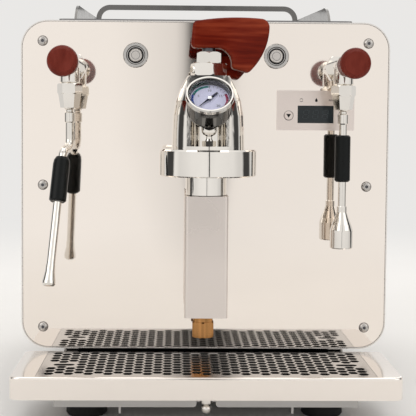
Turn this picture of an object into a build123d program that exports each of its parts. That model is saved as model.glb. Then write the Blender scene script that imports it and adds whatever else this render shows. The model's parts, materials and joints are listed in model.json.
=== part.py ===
from build123d import *

import math
import os

os.makedirs("parts", exist_ok=True)

# Espresso machine: lever-less group with a flow-control paddle, one steam wand, one
# hot-water wand, drip tray and cup rail.  Millimetres, +X right, +Z up, front is -Y.
# The origin is the centre of the machine's footprint box, on the surface it stands on.

# ------------------------------------------------------------------ driving sizes
# Casing
body_width = 367.0
body_height = 328.0
body_depth = 330.0
body_bottom = 56.0
corner_radius = 27.0
shell_wall = 1.2
shell_rim = 1.0  # the shell's edge stands this far proud of each panel
return_width = 28.0  # flange folded inwards behind each panel
front_thickness = 2.0
rear_thickness = 1.5
panel_gap = 0.3
screw_inset = 20.5
screw_head_radius = 4.7
screw_head_height = 2.4
screw_shank_radius = 1.9
screw_length = 8.0
screw_clearance = 0.2

# Base and feet
foot_radius = 20.0
foot_height = 20.8
foot_inset = 68.5  # from the casing's side to a foot's axis
front_foot_ahead = 36.0
rear_foot_behind = 270.0
base_sheet = 2.0
base_inset = 42.5
base_ahead = 92.0
base_behind = 312.0
base_lip = 14.0
base_notch = 18.0
base_notch_round = 3.0
base_tab_x = 80.0
base_tab_drop = 5.8

# Drip tray and grid
tray_side_gap = 3.7
tray_panel_gap = 2.5
tray_depth = 110.0
tray_height = 21.0
tray_drop = 2.5  # from the casing's underside to the tray's top
tray_edge_radius = 2.2
tray_front_radius = 10.0
tray_rear_radius = 7.0
tray_sheet = 1.5
tray_rim = 24.0
tray_rim_front = 3.4
grid_gap = 0.3
grid_thickness = 1.2
grid_ledge = 3.5
hole_flats = 8.7
hole_pitch = 10.45  # between the centres of neighbouring hexagons
grid_border = 4.5
slot_border = 0.8
finger_slot_length = 20.0
finger_slot_width = 7.5
finger_slot_inset = 21.5
finger_slot_ahead = 63.0
ball_radius = 4.8
ball_collar_radius = 5.6
ball_collar_height = 8.8

# Group
group_ahead = 84.0
group_drop = 124.5  # from the top of the casing to the top of the collar
collar_radius = 44.7
collar_height = 24.5
gasket_radius = 36.5
gasket_inner_radius = 28.5
gasket_height = 8.5
bayonet_radius = 34.5
bayonet_height = 6.5
bayonet_slot = 22.0
bell_radius = 33.4
bell_height = 67.0
bell_neck_radius = 19.0
recess_width = 40.0
recess_floor = 8.0
ledge_height = 3.0
boss_radius = 17.0
boss_ahead = 3.0
boss_height = 30.0
trunk_ahead = 38.5
trunk_width = 34.0
neck_width = 44.0
neck_height = 46.0
top_nut_flats = 30.0
top_nut_height = 11.0
top_nut_turn = -78.0  # direction of one corner, in degrees from +X
plug_radius = 3.75
plug_reach = 18.2
plug_turn = -150.0
gland_flats = 21.9
gland_height = 10.5
spindle_radius = 4.0
spindle_collar_radius = 6.0
spindle_collar_height = 3.5
running_gap = 0.05
seat_gap = 0.1
travel_gap = 0.3

# Paddle
paddle_thickness = 20.0
paddle_round = 3.0
paddle_corner = 4.5
paddle_tip = 4.0
paddle_nose = 8.0

# Exhaust column
column_ahead = 40.0
chamber_radius = 19.5
chamber_height = 21.0
column_width = 41.0
column_depth = 44.0
column_round = 3.0
column_sheet = 1.2
column_above_grid = 44.5
drain_flats = 18.6
drain_foot_flats = 20.4
drain_flange = 6.5
drain_height = 21.5
drain_offset = 2.4  # to the left of the column's middle
drain_bore = 5.0

# Group gauge
gauge_ahead = 125.0
gauge_drop = 74.5
gauge_tilt = 42.0  # degrees that the face looks upwards
bezel_radius = 21.7
bezel_depth = 5.0
bezel_chamfer = 1.0
barrel_radius = 19.6
barrel_depth = 26.0
dial_radius = 17.7
dial_depth = 9.0
dial_thickness = 0.8
glass_thickness = 1.2
adapter_ahead = 112.5

# Valves and wands
valve_inset = 52.0
valve_drop = 46.0
valve_radius = 9.0
outlet_ahead = 38.0
outlet_radius = 9.5
knob_start = 67.0
knob_length = 42.0
knob_radius = 14.0
stem_radius = 3.0
ferrule_radius = 11.0
nut_drop = 64.0
nut_flats = 20.7
nut_height = 10.0
cone_height = 13.0
cone_top_flats = 19.0
cone_bottom_flats = 15.4
ball_drop = 83.5
joint_radius = 6.5
wand_radius = 4.0
steam_grip_radius = 8.0
water_grip_radius = 7.5

# Buttons and display
button_x = 70.0
button_drop = 34.0
button_flange = 12.5
button_barrel = 10.9
button_ring = 8.6
button_cap = 6.5
button_travel = 2.0
flange_gap = 1.0
display_width = 77.5
display_height = 39.6
display_inset = 35.0
display_drop = 87.5
display_thickness = 1.5
window_width = 36.0
window_height = 17.4
window_offset_z = -3.9
key_radius = 4.4
key_spacing = 54.0
key_offset_z = -5.2
key_travel = 0.5

# Cup shelf and rail
lid_inset = 36.5
lid_front = 6.0
lid_rear = 324.0
lid_thickness = 2.0
lid_lip = 6.0
lid_field = 1.0  # the raised middle that cups stand on
lid_field_gap = 4.0
opening_inset = 49.0
opening_front = 30.0
opening_rear = 300.0
rail_inset = 53.5
rail_offset = -3.0
rail_sheet = 2.5
rail_front = 22.0
rail_rear = 318.0
rail_front_height = 18.0
rail_rear_height = 32.0
bridge_height = 48.0
bridge_radius = 18.0
bridge_bar = 6.5

# Inside
inlet_inset = 45.0
deck_sheet = 2.0
shelf_z = 188.0
tank_width = 220.0
tank_depth = 90.0
tank_wall = 2.5
tank_rear_gap = 16.0
tank_top_gap = 32.0
boiler_radius = 60.0
boiler_length = 210.0
boiler_behind = 96.0
boiler_drop = 194.0  # from the casing's top to the boiler's axis
boiler_wall = 3.0
boiler_boss = 6.0
boss_spread = 75.0
heater_port = 12.0
saddle_gap = 0.05
motor_radius = 42.0
motor_length = 120.0
motor_z = 118.0
pipe_radius = 3.0
pipe_bend = 12.0
feed_share = 26 / 79  # of the way from the boiler's rear boss to the pump

# ------------------------------------------------------------------ derived places
body_top = body_bottom + body_height
half_width = body_width / 2
gauge_z = body_top - gauge_drop
front_reach = gauge_ahead + (bezel_radius - bezel_chamfer) * math.sin(math.radians(gauge_tilt))
rear_reach = body_depth + screw_head_height
panel_y = (front_reach - rear_reach) / 2  # the front panel's face
tray_top = body_bottom - tray_drop
tray_bottom = tray_top - tray_height
valve_x = half_width - valve_inset
valve_z = body_top - valve_drop
button_z = body_top - button_drop
collar_top = body_top - group_drop
collar_bottom = collar_top - collar_height
bell_top = collar_top + bell_height
gland_bottom = bell_top + top_nut_height
gland_top = gland_bottom + gland_height
paddle_z = gland_top + spindle_collar_height
joint_z = body_top - ball_drop
boiler_z = body_top - boiler_drop


def ahead(distance):
    """Y of a point this far in front of the panel's face."""
    return panel_y - distance


def behind(distance):
    """Y of a point this far behind the panel's face."""
    return panel_y + distance


def facing(distance):
    """Plane parallel to the panel, this far in front of it, that looks to the front."""
    return Plane.XZ.offset(distance - panel_y)


def standing(x, y):
    """Plane whose y axis runs up through (x, y), for parts turned about a vertical."""
    return Plane(origin=(x, y, 0), x_dir=(1, 0, 0), z_dir=(0, -1, 0))


def pointing(x, z):
    """Plane whose y axis runs to the front from the panel's face at (x, z)."""
    return Plane(origin=(x, panel_y, z), x_dir=(1, 0, 0), z_dir=(0, 0, -1))


def along(origin, direction):
    """Plane whose y axis runs along a direction from the origin."""
    axis = Vector(*direction).normalized()
    side = (Vector(1, 0, 0) - axis * axis.X).normalized()
    return Plane(origin=origin, x_dir=side, z_dir=side.cross(axis))


def turn(plane, *points, mode=Mode.ADD):
    """Turn an outline of (radius, height) points about the plane's y axis."""
    with BuildSketch(plane) as outline:
        with BuildLine():
            Polyline(*points, close=True)
        make_face()
    revolve(outline.sketch, axis=Axis(plane.origin, plane.y_dir), mode=mode)


def hexagon(plane, flats, length, turned_off=0.8):
    """Hexagon bar that stands on a plane, with its end corners turned off."""
    corner = flats / math.sqrt(3)
    with BuildPart() as bar:
        with BuildSketch(plane):
            RegularPolygon(flats / 2, 6, major_radius=False)
        extrude(amount=length)
        turn(
            Plane(plane.origin, x_dir=plane.x_dir, z_dir=plane.x_dir.cross(plane.z_dir)),
            (0, 0),
            (corner - turned_off, 0),
            (corner + 0.1, turned_off),
            (corner + 0.1, length - turned_off),
            (corner - turned_off, length),
            (0, length),
            mode=Mode.INTERSECT,
        )
    return bar.part


def casing_outline(plane, inset):
    """The casing's rounded rectangle, drawn this far inside its outer face."""
    with BuildSketch(plane) as outline:
        with Locations((0, body_bottom + body_height / 2)):
            RectangleRounded(
                body_width - 2 * inset,
                body_height - 2 * inset,
                max(corner_radius - inset, 4.0),
            )
    return outline.sketch


screw_rows = (
    body_bottom + screw_inset + 1.0,
    body_bottom + body_height / 2,
    body_top - screw_inset,
)
screw_places = [(side * (half_width - screw_inset - 1.0), z) for side in (-1, 1) for z in screw_rows]

# ------------------------------------------------------------------ base frame
floor_z = foot_height
base_half = half_width - base_inset
with BuildPart() as base_frame:
    # floor pan, cut for the tray's ball pull
    with BuildSketch(Plane.XY.offset(floor_z)):
        with Locations((0, (ahead(base_ahead) + behind(base_behind)) / 2)):
            Rectangle(2 * base_half, base_ahead + base_behind)
        with Locations((0, ahead(base_ahead))):
            Rectangle(base_notch + 2 * base_notch_round, 2 * base_notch, mode=Mode.SUBTRACT)
    extrude(amount=base_sheet)
    # side flanges: low under the tray, up to the casing behind the panel
    with BuildSketch(Plane.YZ.offset(-base_half)):
        with BuildLine():
            Polyline(
                (ahead(base_ahead), floor_z),
                (behind(base_behind), floor_z),
                (behind(base_behind), body_bottom),
                (behind(tray_panel_gap), body_bottom),
                (behind(tray_panel_gap), tray_bottom),
                (ahead(base_ahead), tray_bottom),
                close=True,
            )
        make_face()
    side_flange = extrude(amount=base_sheet)
    mirror(side_flange, about=Plane.YZ)
    # front flange, notched for the ball pull
    with BuildSketch(facing(base_ahead)) as front_flange:
        for side in (-1, 1):
            with Locations((side * (base_half + base_notch / 2) / 2, (floor_z + tray_bottom) / 2)):
                Rectangle(base_half - base_notch / 2, tray_bottom - floor_z)
        fillet(front_flange.vertices().sort_by_distance((0, ahead(base_ahead), floor_z))[:2], base_notch_round)
    extrude(amount=-base_sheet)
    # rear flange
    with BuildSketch(facing(-base_behind)):
        with Locations((0, (floor_z + body_bottom) / 2)):
            Rectangle(2 * base_half, body_bottom - floor_z)
    extrude(amount=base_sheet)
    # lips folded inwards that carry the tray and the casing
    with BuildSketch(Plane.XY.offset(tray_bottom)):
        for side in (-1, 1):
            with Locations((side * (base_half - base_lip / 2), ahead(base_ahead) + base_ahead / 2)):
                Rectangle(base_lip, base_ahead)
            with Locations((side * (base_half + base_notch / 2) / 2, ahead(base_ahead - base_lip / 2))):
                Rectangle(base_half - base_notch / 2, base_lip)
    extrude(amount=-base_sheet)
    with BuildSketch(Plane.XY.offset(body_bottom)):
        for side in (-1, 1):
            with Locations((side * (base_half - base_lip / 2), behind(base_behind / 2 + 2))):
                Rectangle(base_lip, base_behind - 4)
        with Locations((0, behind(base_behind - base_lip / 2))):
            Rectangle(2 * base_half, base_lip)
    extrude(amount=-base_sheet)
    # tabs under the front flange
    with BuildSketch(Plane.XY.offset(floor_z)):
        for side in (-1, 1):
            with Locations((side * base_tab_x, ahead(base_ahead - base_lip / 2))):
                Rectangle(base_sheet, base_lip)
    extrude(amount=-base_tab_drop)
base_frame.part.label = "base_frame"
export_step(base_frame.part, "parts/base_frame.step")

with BuildPart() as rubber_feet:
    for side in (-1, 1):
        for foot_y in (ahead(front_foot_ahead), behind(rear_foot_behind)):
            turn(
                standing(side * (half_width - foot_inset), foot_y),
                (0, 0),
                (foot_radius - 1.5, 0),
                (foot_radius, 2.0),
                (foot_radius - 1.0, foot_height),
                (0, foot_height),
            )
rubber_feet.part.label = "rubber_feet"
export_step(rubber_feet.part, "parts/rubber_feet.step")

# ------------------------------------------------------------------ casing
front_back = -front_thickness  # the front panel's back, ahead of its face
rear_front = body_depth - rear_thickness
opening_half = half_width - opening_inset
vent_count = 7
vent_pitch = 11.0
with BuildPart() as body_shell:
    extrude(casing_outline(facing(shell_rim), 0), amount=-(body_depth + 2 * shell_rim))
    extrude(
        casing_outline(facing(shell_rim), shell_wall),
        amount=-(body_depth + 2 * shell_rim),
        mode=Mode.SUBTRACT,
    )
    # flanges folded inwards behind the two panels
    for flange_ahead in (front_back, -rear_front + shell_wall):
        extrude(casing_outline(facing(flange_ahead), shell_wall / 2), amount=-shell_wall)
        extrude(
            casing_outline(facing(flange_ahead), shell_wall + return_width),
            amount=-shell_wall,
            mode=Mode.SUBTRACT,
        )
    # openings for the tank in the top and for service in the floor
    with BuildSketch(Plane.XY.offset(body_bottom - 1)):
        with Locations((0, behind((opening_front + opening_rear) / 2))):
            RectangleRounded(2 * opening_half, opening_rear - opening_front, 8)
    extrude(amount=body_height + 2, mode=Mode.SUBTRACT)
    # vent slots low on both sides, towards the rear
    with BuildSketch(Plane.YZ.offset(-half_width - 1)):
        with Locations((behind(body_depth - 95), body_bottom + 85)):
            with GridLocations(0.1, vent_pitch, 1, vent_count):
                Rectangle(70, 4)
    extrude(amount=body_width + 2, mode=Mode.SUBTRACT)
    # screw holes
    with BuildSketch(facing(front_back + 1)):
        with Locations(*screw_places):
            Circle(screw_shank_radius + screw_clearance)
    extrude(amount=-(body_depth + 2), mode=Mode.SUBTRACT)
    # room for the buttons in the front flange
    with BuildSketch(facing(front_back + 1)):
        with Locations((-button_x, button_z), (button_x, button_z)):
            Circle(button_barrel + flange_gap)
    extrude(amount=-(shell_wall + 2), mode=Mode.SUBTRACT)
body_shell.part.label = "body_shell"
export_step(body_shell.part, "parts/body_shell.step")

display_x = half_width - display_inset - display_width / 2
display_z = body_top - display_drop
with BuildPart() as front_panel:
    extrude(casing_outline(facing(0), shell_wall + panel_gap), amount=-front_thickness)
    with BuildSketch(facing(1)):
        with Locations(*screw_places):
            Circle(screw_shank_radius + screw_clearance)
        with Locations((-valve_x, valve_z), (valve_x, valve_z)):
            Circle(valve_radius + seat_gap)
        with Locations((-button_x, button_z), (button_x, button_z)):
            Circle(button_barrel + seat_gap)
        with Locations((display_x, display_z)):
            Rectangle(display_width - 9, display_height - 9)
        with Locations((0, collar_top + bell_height / 2)):
            RectangleRounded(neck_width - 8, neck_height - 8, 6)
    extrude(amount=-(front_thickness + 2), mode=Mode.SUBTRACT)
front_panel.part.label = "front_panel"
export_step(front_panel.part, "parts/front_panel.step")

inlet_x = -(half_width - inlet_inset)
inlet_z = body_bottom + 42.0
inlet_width = 27.4
inlet_height = 19.8
with BuildPart() as rear_panel:
    extrude(casing_outline(facing(-rear_front), shell_wall + panel_gap), amount=-rear_thickness)
    with BuildSketch(facing(-rear_front + 1)):
        with Locations(*screw_places):
            Circle(screw_shank_radius + screw_clearance)
        with Locations((inlet_x, inlet_z)):
            Rectangle(inlet_width, inlet_height)
        with Locations((0, body_top - 120)):
            with GridLocations(96, vent_pitch, 2, 2 * vent_count):
                Rectangle(80, 4)
    extrude(amount=-(rear_thickness + 2), mode=Mode.SUBTRACT)
rear_panel.part.label = "rear_panel"
export_step(rear_panel.part, "parts/rear_panel.step")

with BuildPart() as panel_screws:
    for x, z in screw_places:
        for toward_front in (True, False):
            seat = Plane(
                origin=(x, panel_y if toward_front else behind(body_depth), z),
                x_dir=(1, 0, 0),
                z_dir=(0, 0, -1 if toward_front else 1),
            )
            turn(
                seat,
                (0, -screw_length),
                (screw_shank_radius, -screw_length),
                (screw_shank_radius, 0),
                (screw_head_radius, 0),
                (screw_head_radius - 0.4, 1.2),
                (screw_head_radius - 1.7, screw_head_height),
                (0, screw_head_height),
            )
panel_screws.part.label = "panel_screws"
export_step(panel_screws.part, "parts/panel_screws.step")

with BuildPart() as power_inlet:
    with BuildSketch(facing(-body_depth)):
        with Locations((inlet_x, inlet_z)):
            RectangleRounded(inlet_width + 8, inlet_height + 8, 4)
    extrude(amount=-shell_rim)
    with BuildSketch(facing(-body_depth)):
        with Locations((inlet_x, inlet_z)):
            Rectangle(inlet_width - 2 * seat_gap, inlet_height - 2 * seat_gap)
    extrude(amount=24)
    with BuildSketch(facing(-body_depth - shell_rim)):
        with Locations((inlet_x, inlet_z)):
            Polygon((-12, -8), (12, -8), (12, 4), (8, 8), (-8, 8), (-12, 4), align=None)
    extrude(amount=16, mode=Mode.SUBTRACT)
    with BuildSketch(facing(-body_depth + 18)):
        with Locations((inlet_x - 7, inlet_z - 2), (inlet_x, inlet_z + 2), (inlet_x + 7, inlet_z - 2)):
            Rectangle(2, 4)
    extrude(amount=-10)
power_inlet.part.label = "power_inlet"
export_step(power_inlet.part, "parts/power_inlet.step")

# ------------------------------------------------------------------ cup shelf and rail
lid_half = half_width - lid_inset
rail_half = half_width - rail_inset
with BuildPart() as cup_shelf:
    with BuildSketch(Plane.XY.offset(body_top)):
        with Locations((0, behind((lid_front + lid_rear) / 2))):
            RectangleRounded(2 * lid_half, lid_rear - lid_front, 6)
    extrude(amount=lid_thickness)
    # rim that locates it in the casing's opening
    with BuildSketch(Plane.XY.offset(body_top)):
        with Locations((0, behind((opening_front + opening_rear) / 2))):
            RectangleRounded(2 * opening_half - 2, opening_rear - opening_front - 2, 7)
            RectangleRounded(
                2 * opening_half - 6, opening_rear - opening_front - 6, 5, mode=Mode.SUBTRACT
            )
    extrude(amount=-lid_lip)
    # raised field inside the rail
    with BuildSketch(Plane.XY.offset(body_top + lid_thickness)):
        with Locations((rail_offset, behind((rail_front + rail_rear) / 2))):
            Rectangle(
                2 * (rail_half - rail_sheet - lid_field_gap),
                rail_rear - rail_front - 2 * (rail_sheet + lid_field_gap),
            )
    extrude(amount=lid_field, taper=45)
    # slots that let the boiler's warmth through
    with BuildSketch(Plane.XY.offset(body_top)):
        with Locations((0, behind((opening_front + opening_rear) / 2))):
            with GridLocations(64, 24, 3, 9):
                Rectangle(40, 5)
    extrude(amount=lid_thickness + lid_field, mode=Mode.SUBTRACT)
cup_shelf.part.label = "cup_shelf"
export_step(cup_shelf.part, "parts/cup_shelf.step")

rail_base = body_top + lid_thickness
front_arc = 40.0
with BuildPart() as cup_rail:
    for side in (-1, 1):
        outer = rail_offset + side * rail_half
        with BuildSketch(Plane.YZ.offset(min(outer, outer - side * rail_sheet))):
            with BuildLine():
                Line((behind(rail_front), rail_base), (behind(rail_rear), rail_base))
                Line(
                    (behind(rail_rear), rail_base),
                    (behind(rail_rear), body_top + rail_rear_height),
                )
                Line(
                    (behind(rail_rear), body_top + rail_rear_height),
                    (behind(rail_front + front_arc), body_top + rail_front_height + 2),
                )
                ThreePointArc(
                    (behind(rail_front + front_arc), body_top + rail_front_height + 2),
                    (behind(rail_front + 11), body_top + rail_front_height * 0.7),
                    (behind(rail_front), rail_base),
                )
            make_face()
        extrude(amount=rail_sheet)
    with BuildSketch(facing(-rail_rear + rail_sheet)):
        with BuildLine():
            FilletPolyline(
                (rail_offset - rail_half, rail_base),
                (rail_offset - rail_half, body_top + bridge_height + 2),
                (rail_offset + rail_half, body_top + bridge_height + 2),
                (rail_offset + rail_half, rail_base),
                radius=bridge_radius,
            )
            Line((rail_offset + rail_half, rail_base), (rail_offset - rail_half, rail_base))
        make_face()
        window_top = body_top + bridge_height + 2 - bridge_bar
        window_bottom = rail_base + 10
        with Locations((rail_offset, (window_top + window_bottom) / 2)):
            RectangleRounded(
                2 * (rail_half - bridge_bar),
                window_top - window_bottom,
                bridge_radius - bridge_bar,
                mode=Mode.SUBTRACT,
            )
    extrude(amount=-rail_sheet)
cup_rail.part.label = "cup_rail"
export_step(cup_rail.part, "parts/cup_rail.step")

# ------------------------------------------------------------------ drip tray
tray_half = half_width - tray_side_gap
tray_middle = ahead(tray_panel_gap + tray_depth / 2)
grid_half = tray_half - tray_rim
grid_rear = tray_panel_gap + tray_sheet
grid_front = tray_panel_gap + tray_depth - tray_rim_front
grid_middle = ahead((grid_rear + grid_front) / 2)
grid_depth = grid_front - grid_rear
with BuildPart() as drip_tray:
    with BuildSketch(Plane.XY.offset(tray_bottom)) as tray_plan:
        with Locations((0, tray_middle)):
            Rectangle(2 * tray_half, tray_depth)
        fillet(tray_plan.vertices().group_by(Axis.Y)[0], tray_front_radius)
        fillet(tray_plan.vertices().group_by(Axis.Y)[-1], tray_rear_radius)
    extrude(amount=tray_height)
    top_edges = drip_tray.edges().group_by(Axis.Z)[-1]
    fillet(top_edges, tray_edge_radius)
    # seat of the grid, and the well below it
    with BuildSketch(Plane.XY.offset(tray_top - grid_thickness)):
        with Locations((0, grid_middle)):
            Rectangle(2 * grid_half, grid_depth)
    extrude(amount=grid_thickness + 1, mode=Mode.SUBTRACT)
    with BuildSketch(Plane.XY.offset(tray_bottom + tray_sheet)):
        with Locations((0, grid_middle)):
            RectangleRounded(2 * (grid_half - grid_ledge), grid_depth - 2 * grid_ledge, 6)
    extrude(amount=tray_height, mode=Mode.SUBTRACT)
    # hollow under both side rims
    with BuildSketch(Plane.XY.offset(tray_bottom)):
        for side in (-1, 1):
            rim_middle = side * (tray_half + grid_half - grid_ledge) / 2
            with Locations((rim_middle, tray_middle)):
                Rectangle(
                    tray_rim + grid_ledge - 2 * tray_sheet,
                    tray_depth - 2 * tray_front_radius,
                )
    extrude(amount=tray_height - tray_sheet - grid_thickness, mode=Mode.SUBTRACT)
drip_tray.part.label = "drip_tray"
export_step(drip_tray.part, "parts/drip_tray.step")

ball_y = ahead(base_ahead - 2)
with BuildPart() as tray_ball:
    turn(
        standing(0, ball_y),
        (0, tray_bottom),
        (ball_collar_radius, tray_bottom),
        (ball_collar_radius, tray_bottom - ball_collar_height + 1.2),
        (ball_collar_radius - 1.0, tray_bottom - ball_collar_height),
        (0, tray_bottom - ball_collar_height),
    )
    with Locations((0, ball_y, tray_bottom - ball_collar_height - ball_radius + 0.4)):
        Sphere(ball_radius)
tray_ball.part.label = "tray_ball"
export_step(tray_ball.part, "parts/tray_ball.step")

# honeycomb: hexagons with corners to the sides, in rows that are half a pitch apart
row_pitch = hole_pitch * math.sqrt(3)
hole_corner = hole_flats / math.sqrt(3)
slot_x = grid_half - finger_slot_inset
slot_y = ahead(finger_slot_ahead)
plate_half = grid_half - grid_gap
plate_depth = grid_depth - 2 * grid_gap
reach_x = plate_half - grid_border - hole_corner
reach_y = plate_depth / 2 - grid_border - hole_flats / 2
holes = []
for row in range(-math.floor(reach_y / (hole_pitch / 2)), math.floor(reach_y / (hole_pitch / 2)) + 1):
    shift = row_pitch / 2 if row % 2 else 0.0
    for column in range(-math.ceil(reach_x / row_pitch) - 1, math.ceil(reach_x / row_pitch) + 1):
        x = column * row_pitch + shift
        y = grid_middle + row * hole_pitch / 2
        beside_slot = abs(abs(x) - slot_x) < finger_slot_length / 2 + hole_corner + slot_border
        level_with_slot = abs(y - slot_y) < (finger_slot_width + hole_flats) / 2 + slot_border
        if abs(x) <= reach_x and not (beside_slot and level_with_slot):
            holes.append((x, y))
with BuildPart() as drip_grid:
    with BuildSketch(Plane.XY.offset(tray_top - grid_thickness)):
        with Locations((0, grid_middle)):
            Rectangle(2 * plate_half, plate_depth)
        with Locations(*holes):
            RegularPolygon(hole_corner, 6, mode=Mode.SUBTRACT)
        with Locations((-slot_x, slot_y), (slot_x, slot_y)):
            SlotOverall(finger_slot_length, finger_slot_width, mode=Mode.SUBTRACT)
    extrude(amount=grid_thickness)
drip_grid.part.label = "drip_grid"
export_step(drip_grid.part, "parts/drip_grid.step")

# ------------------------------------------------------------------ group
group_y = ahead(group_ahead)
plate_bottom = collar_top - 7.0
with BuildPart() as group_body:
    # bell over the brewing chamber, with the plate that closes the collar
    turn(
        standing(0, group_y),
        (0, plate_bottom),
        (gasket_radius, plate_bottom),
        (gasket_radius, collar_top),
        (bell_radius, collar_top),
        (bell_radius, collar_top + 2),
        (bell_radius - 0.3, collar_top + 18),
        (bell_radius - 1.0, collar_top + 31),
        (bell_radius - 3.4, collar_top + 44),
        (bell_radius - 7.4, collar_top + 55),
        (bell_radius - 11.6, collar_top + 63),
        (bell_neck_radius, bell_top),
        (0, bell_top),
    )
    # flat recess in the bell's front, around a round boss
    with BuildSketch(facing(group_ahead + recess_floor)):
        with Locations((0, collar_top + ledge_height + bell_height / 2)):
            Rectangle(recess_width, bell_height)
    extrude(amount=bell_radius, mode=Mode.SUBTRACT)
    with BuildSketch(Plane.XY.offset(collar_top + ledge_height)):
        with Locations((0, ahead(group_ahead + boss_ahead))):
            Circle(boss_radius)
    extrude(amount=boss_height)
    # neck and trunk that carry the group on the panel
    with BuildSketch(facing(0)):
        with Locations((0, collar_top + bell_height / 2)):
            RectangleRounded(neck_width, neck_height, 8)
    extrude(amount=group_ahead)
    with BuildSketch(Plane.XY.offset(collar_bottom)):
        with Locations((0, ahead((6 + trunk_ahead) / 2))):
            RectangleRounded(trunk_width, trunk_ahead - 6, 6)
    extrude(amount=collar_height + bell_height / 2)
    # the collar's outside and the spindle's way through
    turn(
        standing(0, group_y),
        (gasket_radius, collar_bottom - 1),
        (collar_radius + seat_gap, collar_bottom - 1),
        (collar_radius + seat_gap, collar_top),
        (gasket_radius, collar_top),
        mode=Mode.SUBTRACT,
    )
    turn(
        standing(0, group_y),
        (0, bell_top - 24),
        (spindle_radius + 2, bell_top - 24),
        (spindle_radius + 2, bell_top + 1),
        (0, bell_top + 1),
        mode=Mode.SUBTRACT,
    )
group_body.part.label = "group_body"
export_step(group_body.part, "parts/group_body.step")

with BuildPart() as group_collar:
    turn(
        standing(0, group_y),
        (bayonet_radius, collar_bottom),
        (collar_radius - 1.0, collar_bottom),
        (collar_radius, collar_bottom + 1.0),
        (collar_radius, collar_top - 1.5),
        (collar_radius - 1.5, collar_top),
        (gasket_radius + seat_gap, collar_top),
        (gasket_radius + seat_gap, collar_bottom + bayonet_height),
        (bayonet_radius, collar_bottom + bayonet_height),
    )
    # ways in for the two ears of a portafilter
    with BuildSketch(Plane.XY.offset(collar_bottom)):
        with Locations((0, group_y)):
            Rectangle(2 * gasket_radius, bayonet_slot)
    extrude(amount=bayonet_height, mode=Mode.SUBTRACT)
group_collar.part.label = "group_collar"
export_step(group_collar.part, "parts/group_collar.step")

with BuildPart() as group_gasket:
    turn(
        standing(0, group_y),
        (gasket_inner_radius, plate_bottom - gasket_height),
        (gasket_radius, plate_bottom - gasket_height),
        (gasket_radius, plate_bottom),
        (gasket_inner_radius, plate_bottom),
    )
group_gasket.part.label = "group_gasket"
export_step(group_gasket.part, "parts/group_gasket.step")

screen_radius = gasket_inner_radius - seat_gap
with BuildPart() as shower_screen:
    turn(
        standing(0, group_y),
        (0, plate_bottom - gasket_height),
        (screen_radius - 1, plate_bottom - gasket_height),
        (screen_radius, plate_bottom - gasket_height + 1),
        (screen_radius, plate_bottom),
        (screen_radius - 1.2, plate_bottom),
        (screen_radius - 1.2, plate_bottom - gasket_height + 1.2),
        (0, plate_bottom - gasket_height + 1.2),
    )
    # screw that holds the screen up
    turn(
        standing(0, group_y),
        (0, plate_bottom - gasket_height - 1.5),
        (4, plate_bottom - gasket_height - 1.5),
        (5, plate_bottom - gasket_height),
        (3, plate_bottom - gasket_height + 0.5),
        (3, plate_bottom),
        (0, plate_bottom),
    )
shower_screen.part.label = "shower_screen"
export_step(shower_screen.part, "parts/shower_screen.step")

top_nut_blank = hexagon(
    Plane((0, group_y, bell_top), x_dir=Vector(1, 0, 0).rotate(Axis.Z, top_nut_turn)),
    top_nut_flats,
    top_nut_height,
    1.2,
)
plug_way = Vector(1, 0, 0).rotate(Axis.Z, plug_turn)
with BuildPart() as group_top_nut:
    add(top_nut_blank)
    # round plug in the port beside the gauge
    turn(
        along((0, group_y, bell_top + top_nut_height / 2), tuple(plug_way)),
        (0, spindle_radius + 4),
        (plug_radius, spindle_radius + 4),
        (plug_radius, plug_reach - 0.8),
        (plug_radius - 0.8, plug_reach),
        (plug_radius - 1.8, plug_reach),
        (plug_radius - 1.8, plug_reach - 1.8),
        (0, plug_reach - 1.8),
    )
    with Locations((0, group_y, bell_top + top_nut_height / 2)):
        Cylinder(spindle_radius + running_gap, top_nut_height + 2, mode=Mode.SUBTRACT)
group_top_nut.part.label = "group_top_nut"
export_step(group_top_nut.part, "parts/group_top_nut.step")

gland_blank = hexagon(
    Plane((0, group_y, gland_bottom), x_dir=(0, -1, 0)), gland_flats, gland_height, 1.5
)
with BuildPart() as paddle_gland:
    add(gland_blank)
    with Locations((0, group_y, gland_bottom + gland_height / 2)):
        Cylinder(spindle_radius + running_gap, gland_height + 2, mode=Mode.SUBTRACT)
paddle_gland.part.label = "paddle_gland"
export_step(paddle_gland.part, "parts/paddle_gland.step")

with BuildPart() as paddle_spindle:
    turn(
        standing(0, group_y),
        (0, bell_top - 20),
        (1.0, bell_top - 20),
        (spindle_radius, bell_top - 14),
        (spindle_radius, gland_top + travel_gap),
        (spindle_collar_radius, gland_top + travel_gap),
        (spindle_collar_radius, paddle_z),
        (spindle_radius, paddle_z),
        (spindle_radius, paddle_z + 16),
        (0, paddle_z + 16),
    )
paddle_spindle.part.label = "paddle_spindle"
export_step(paddle_spindle.part, "parts/paddle_spindle.step")

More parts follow.
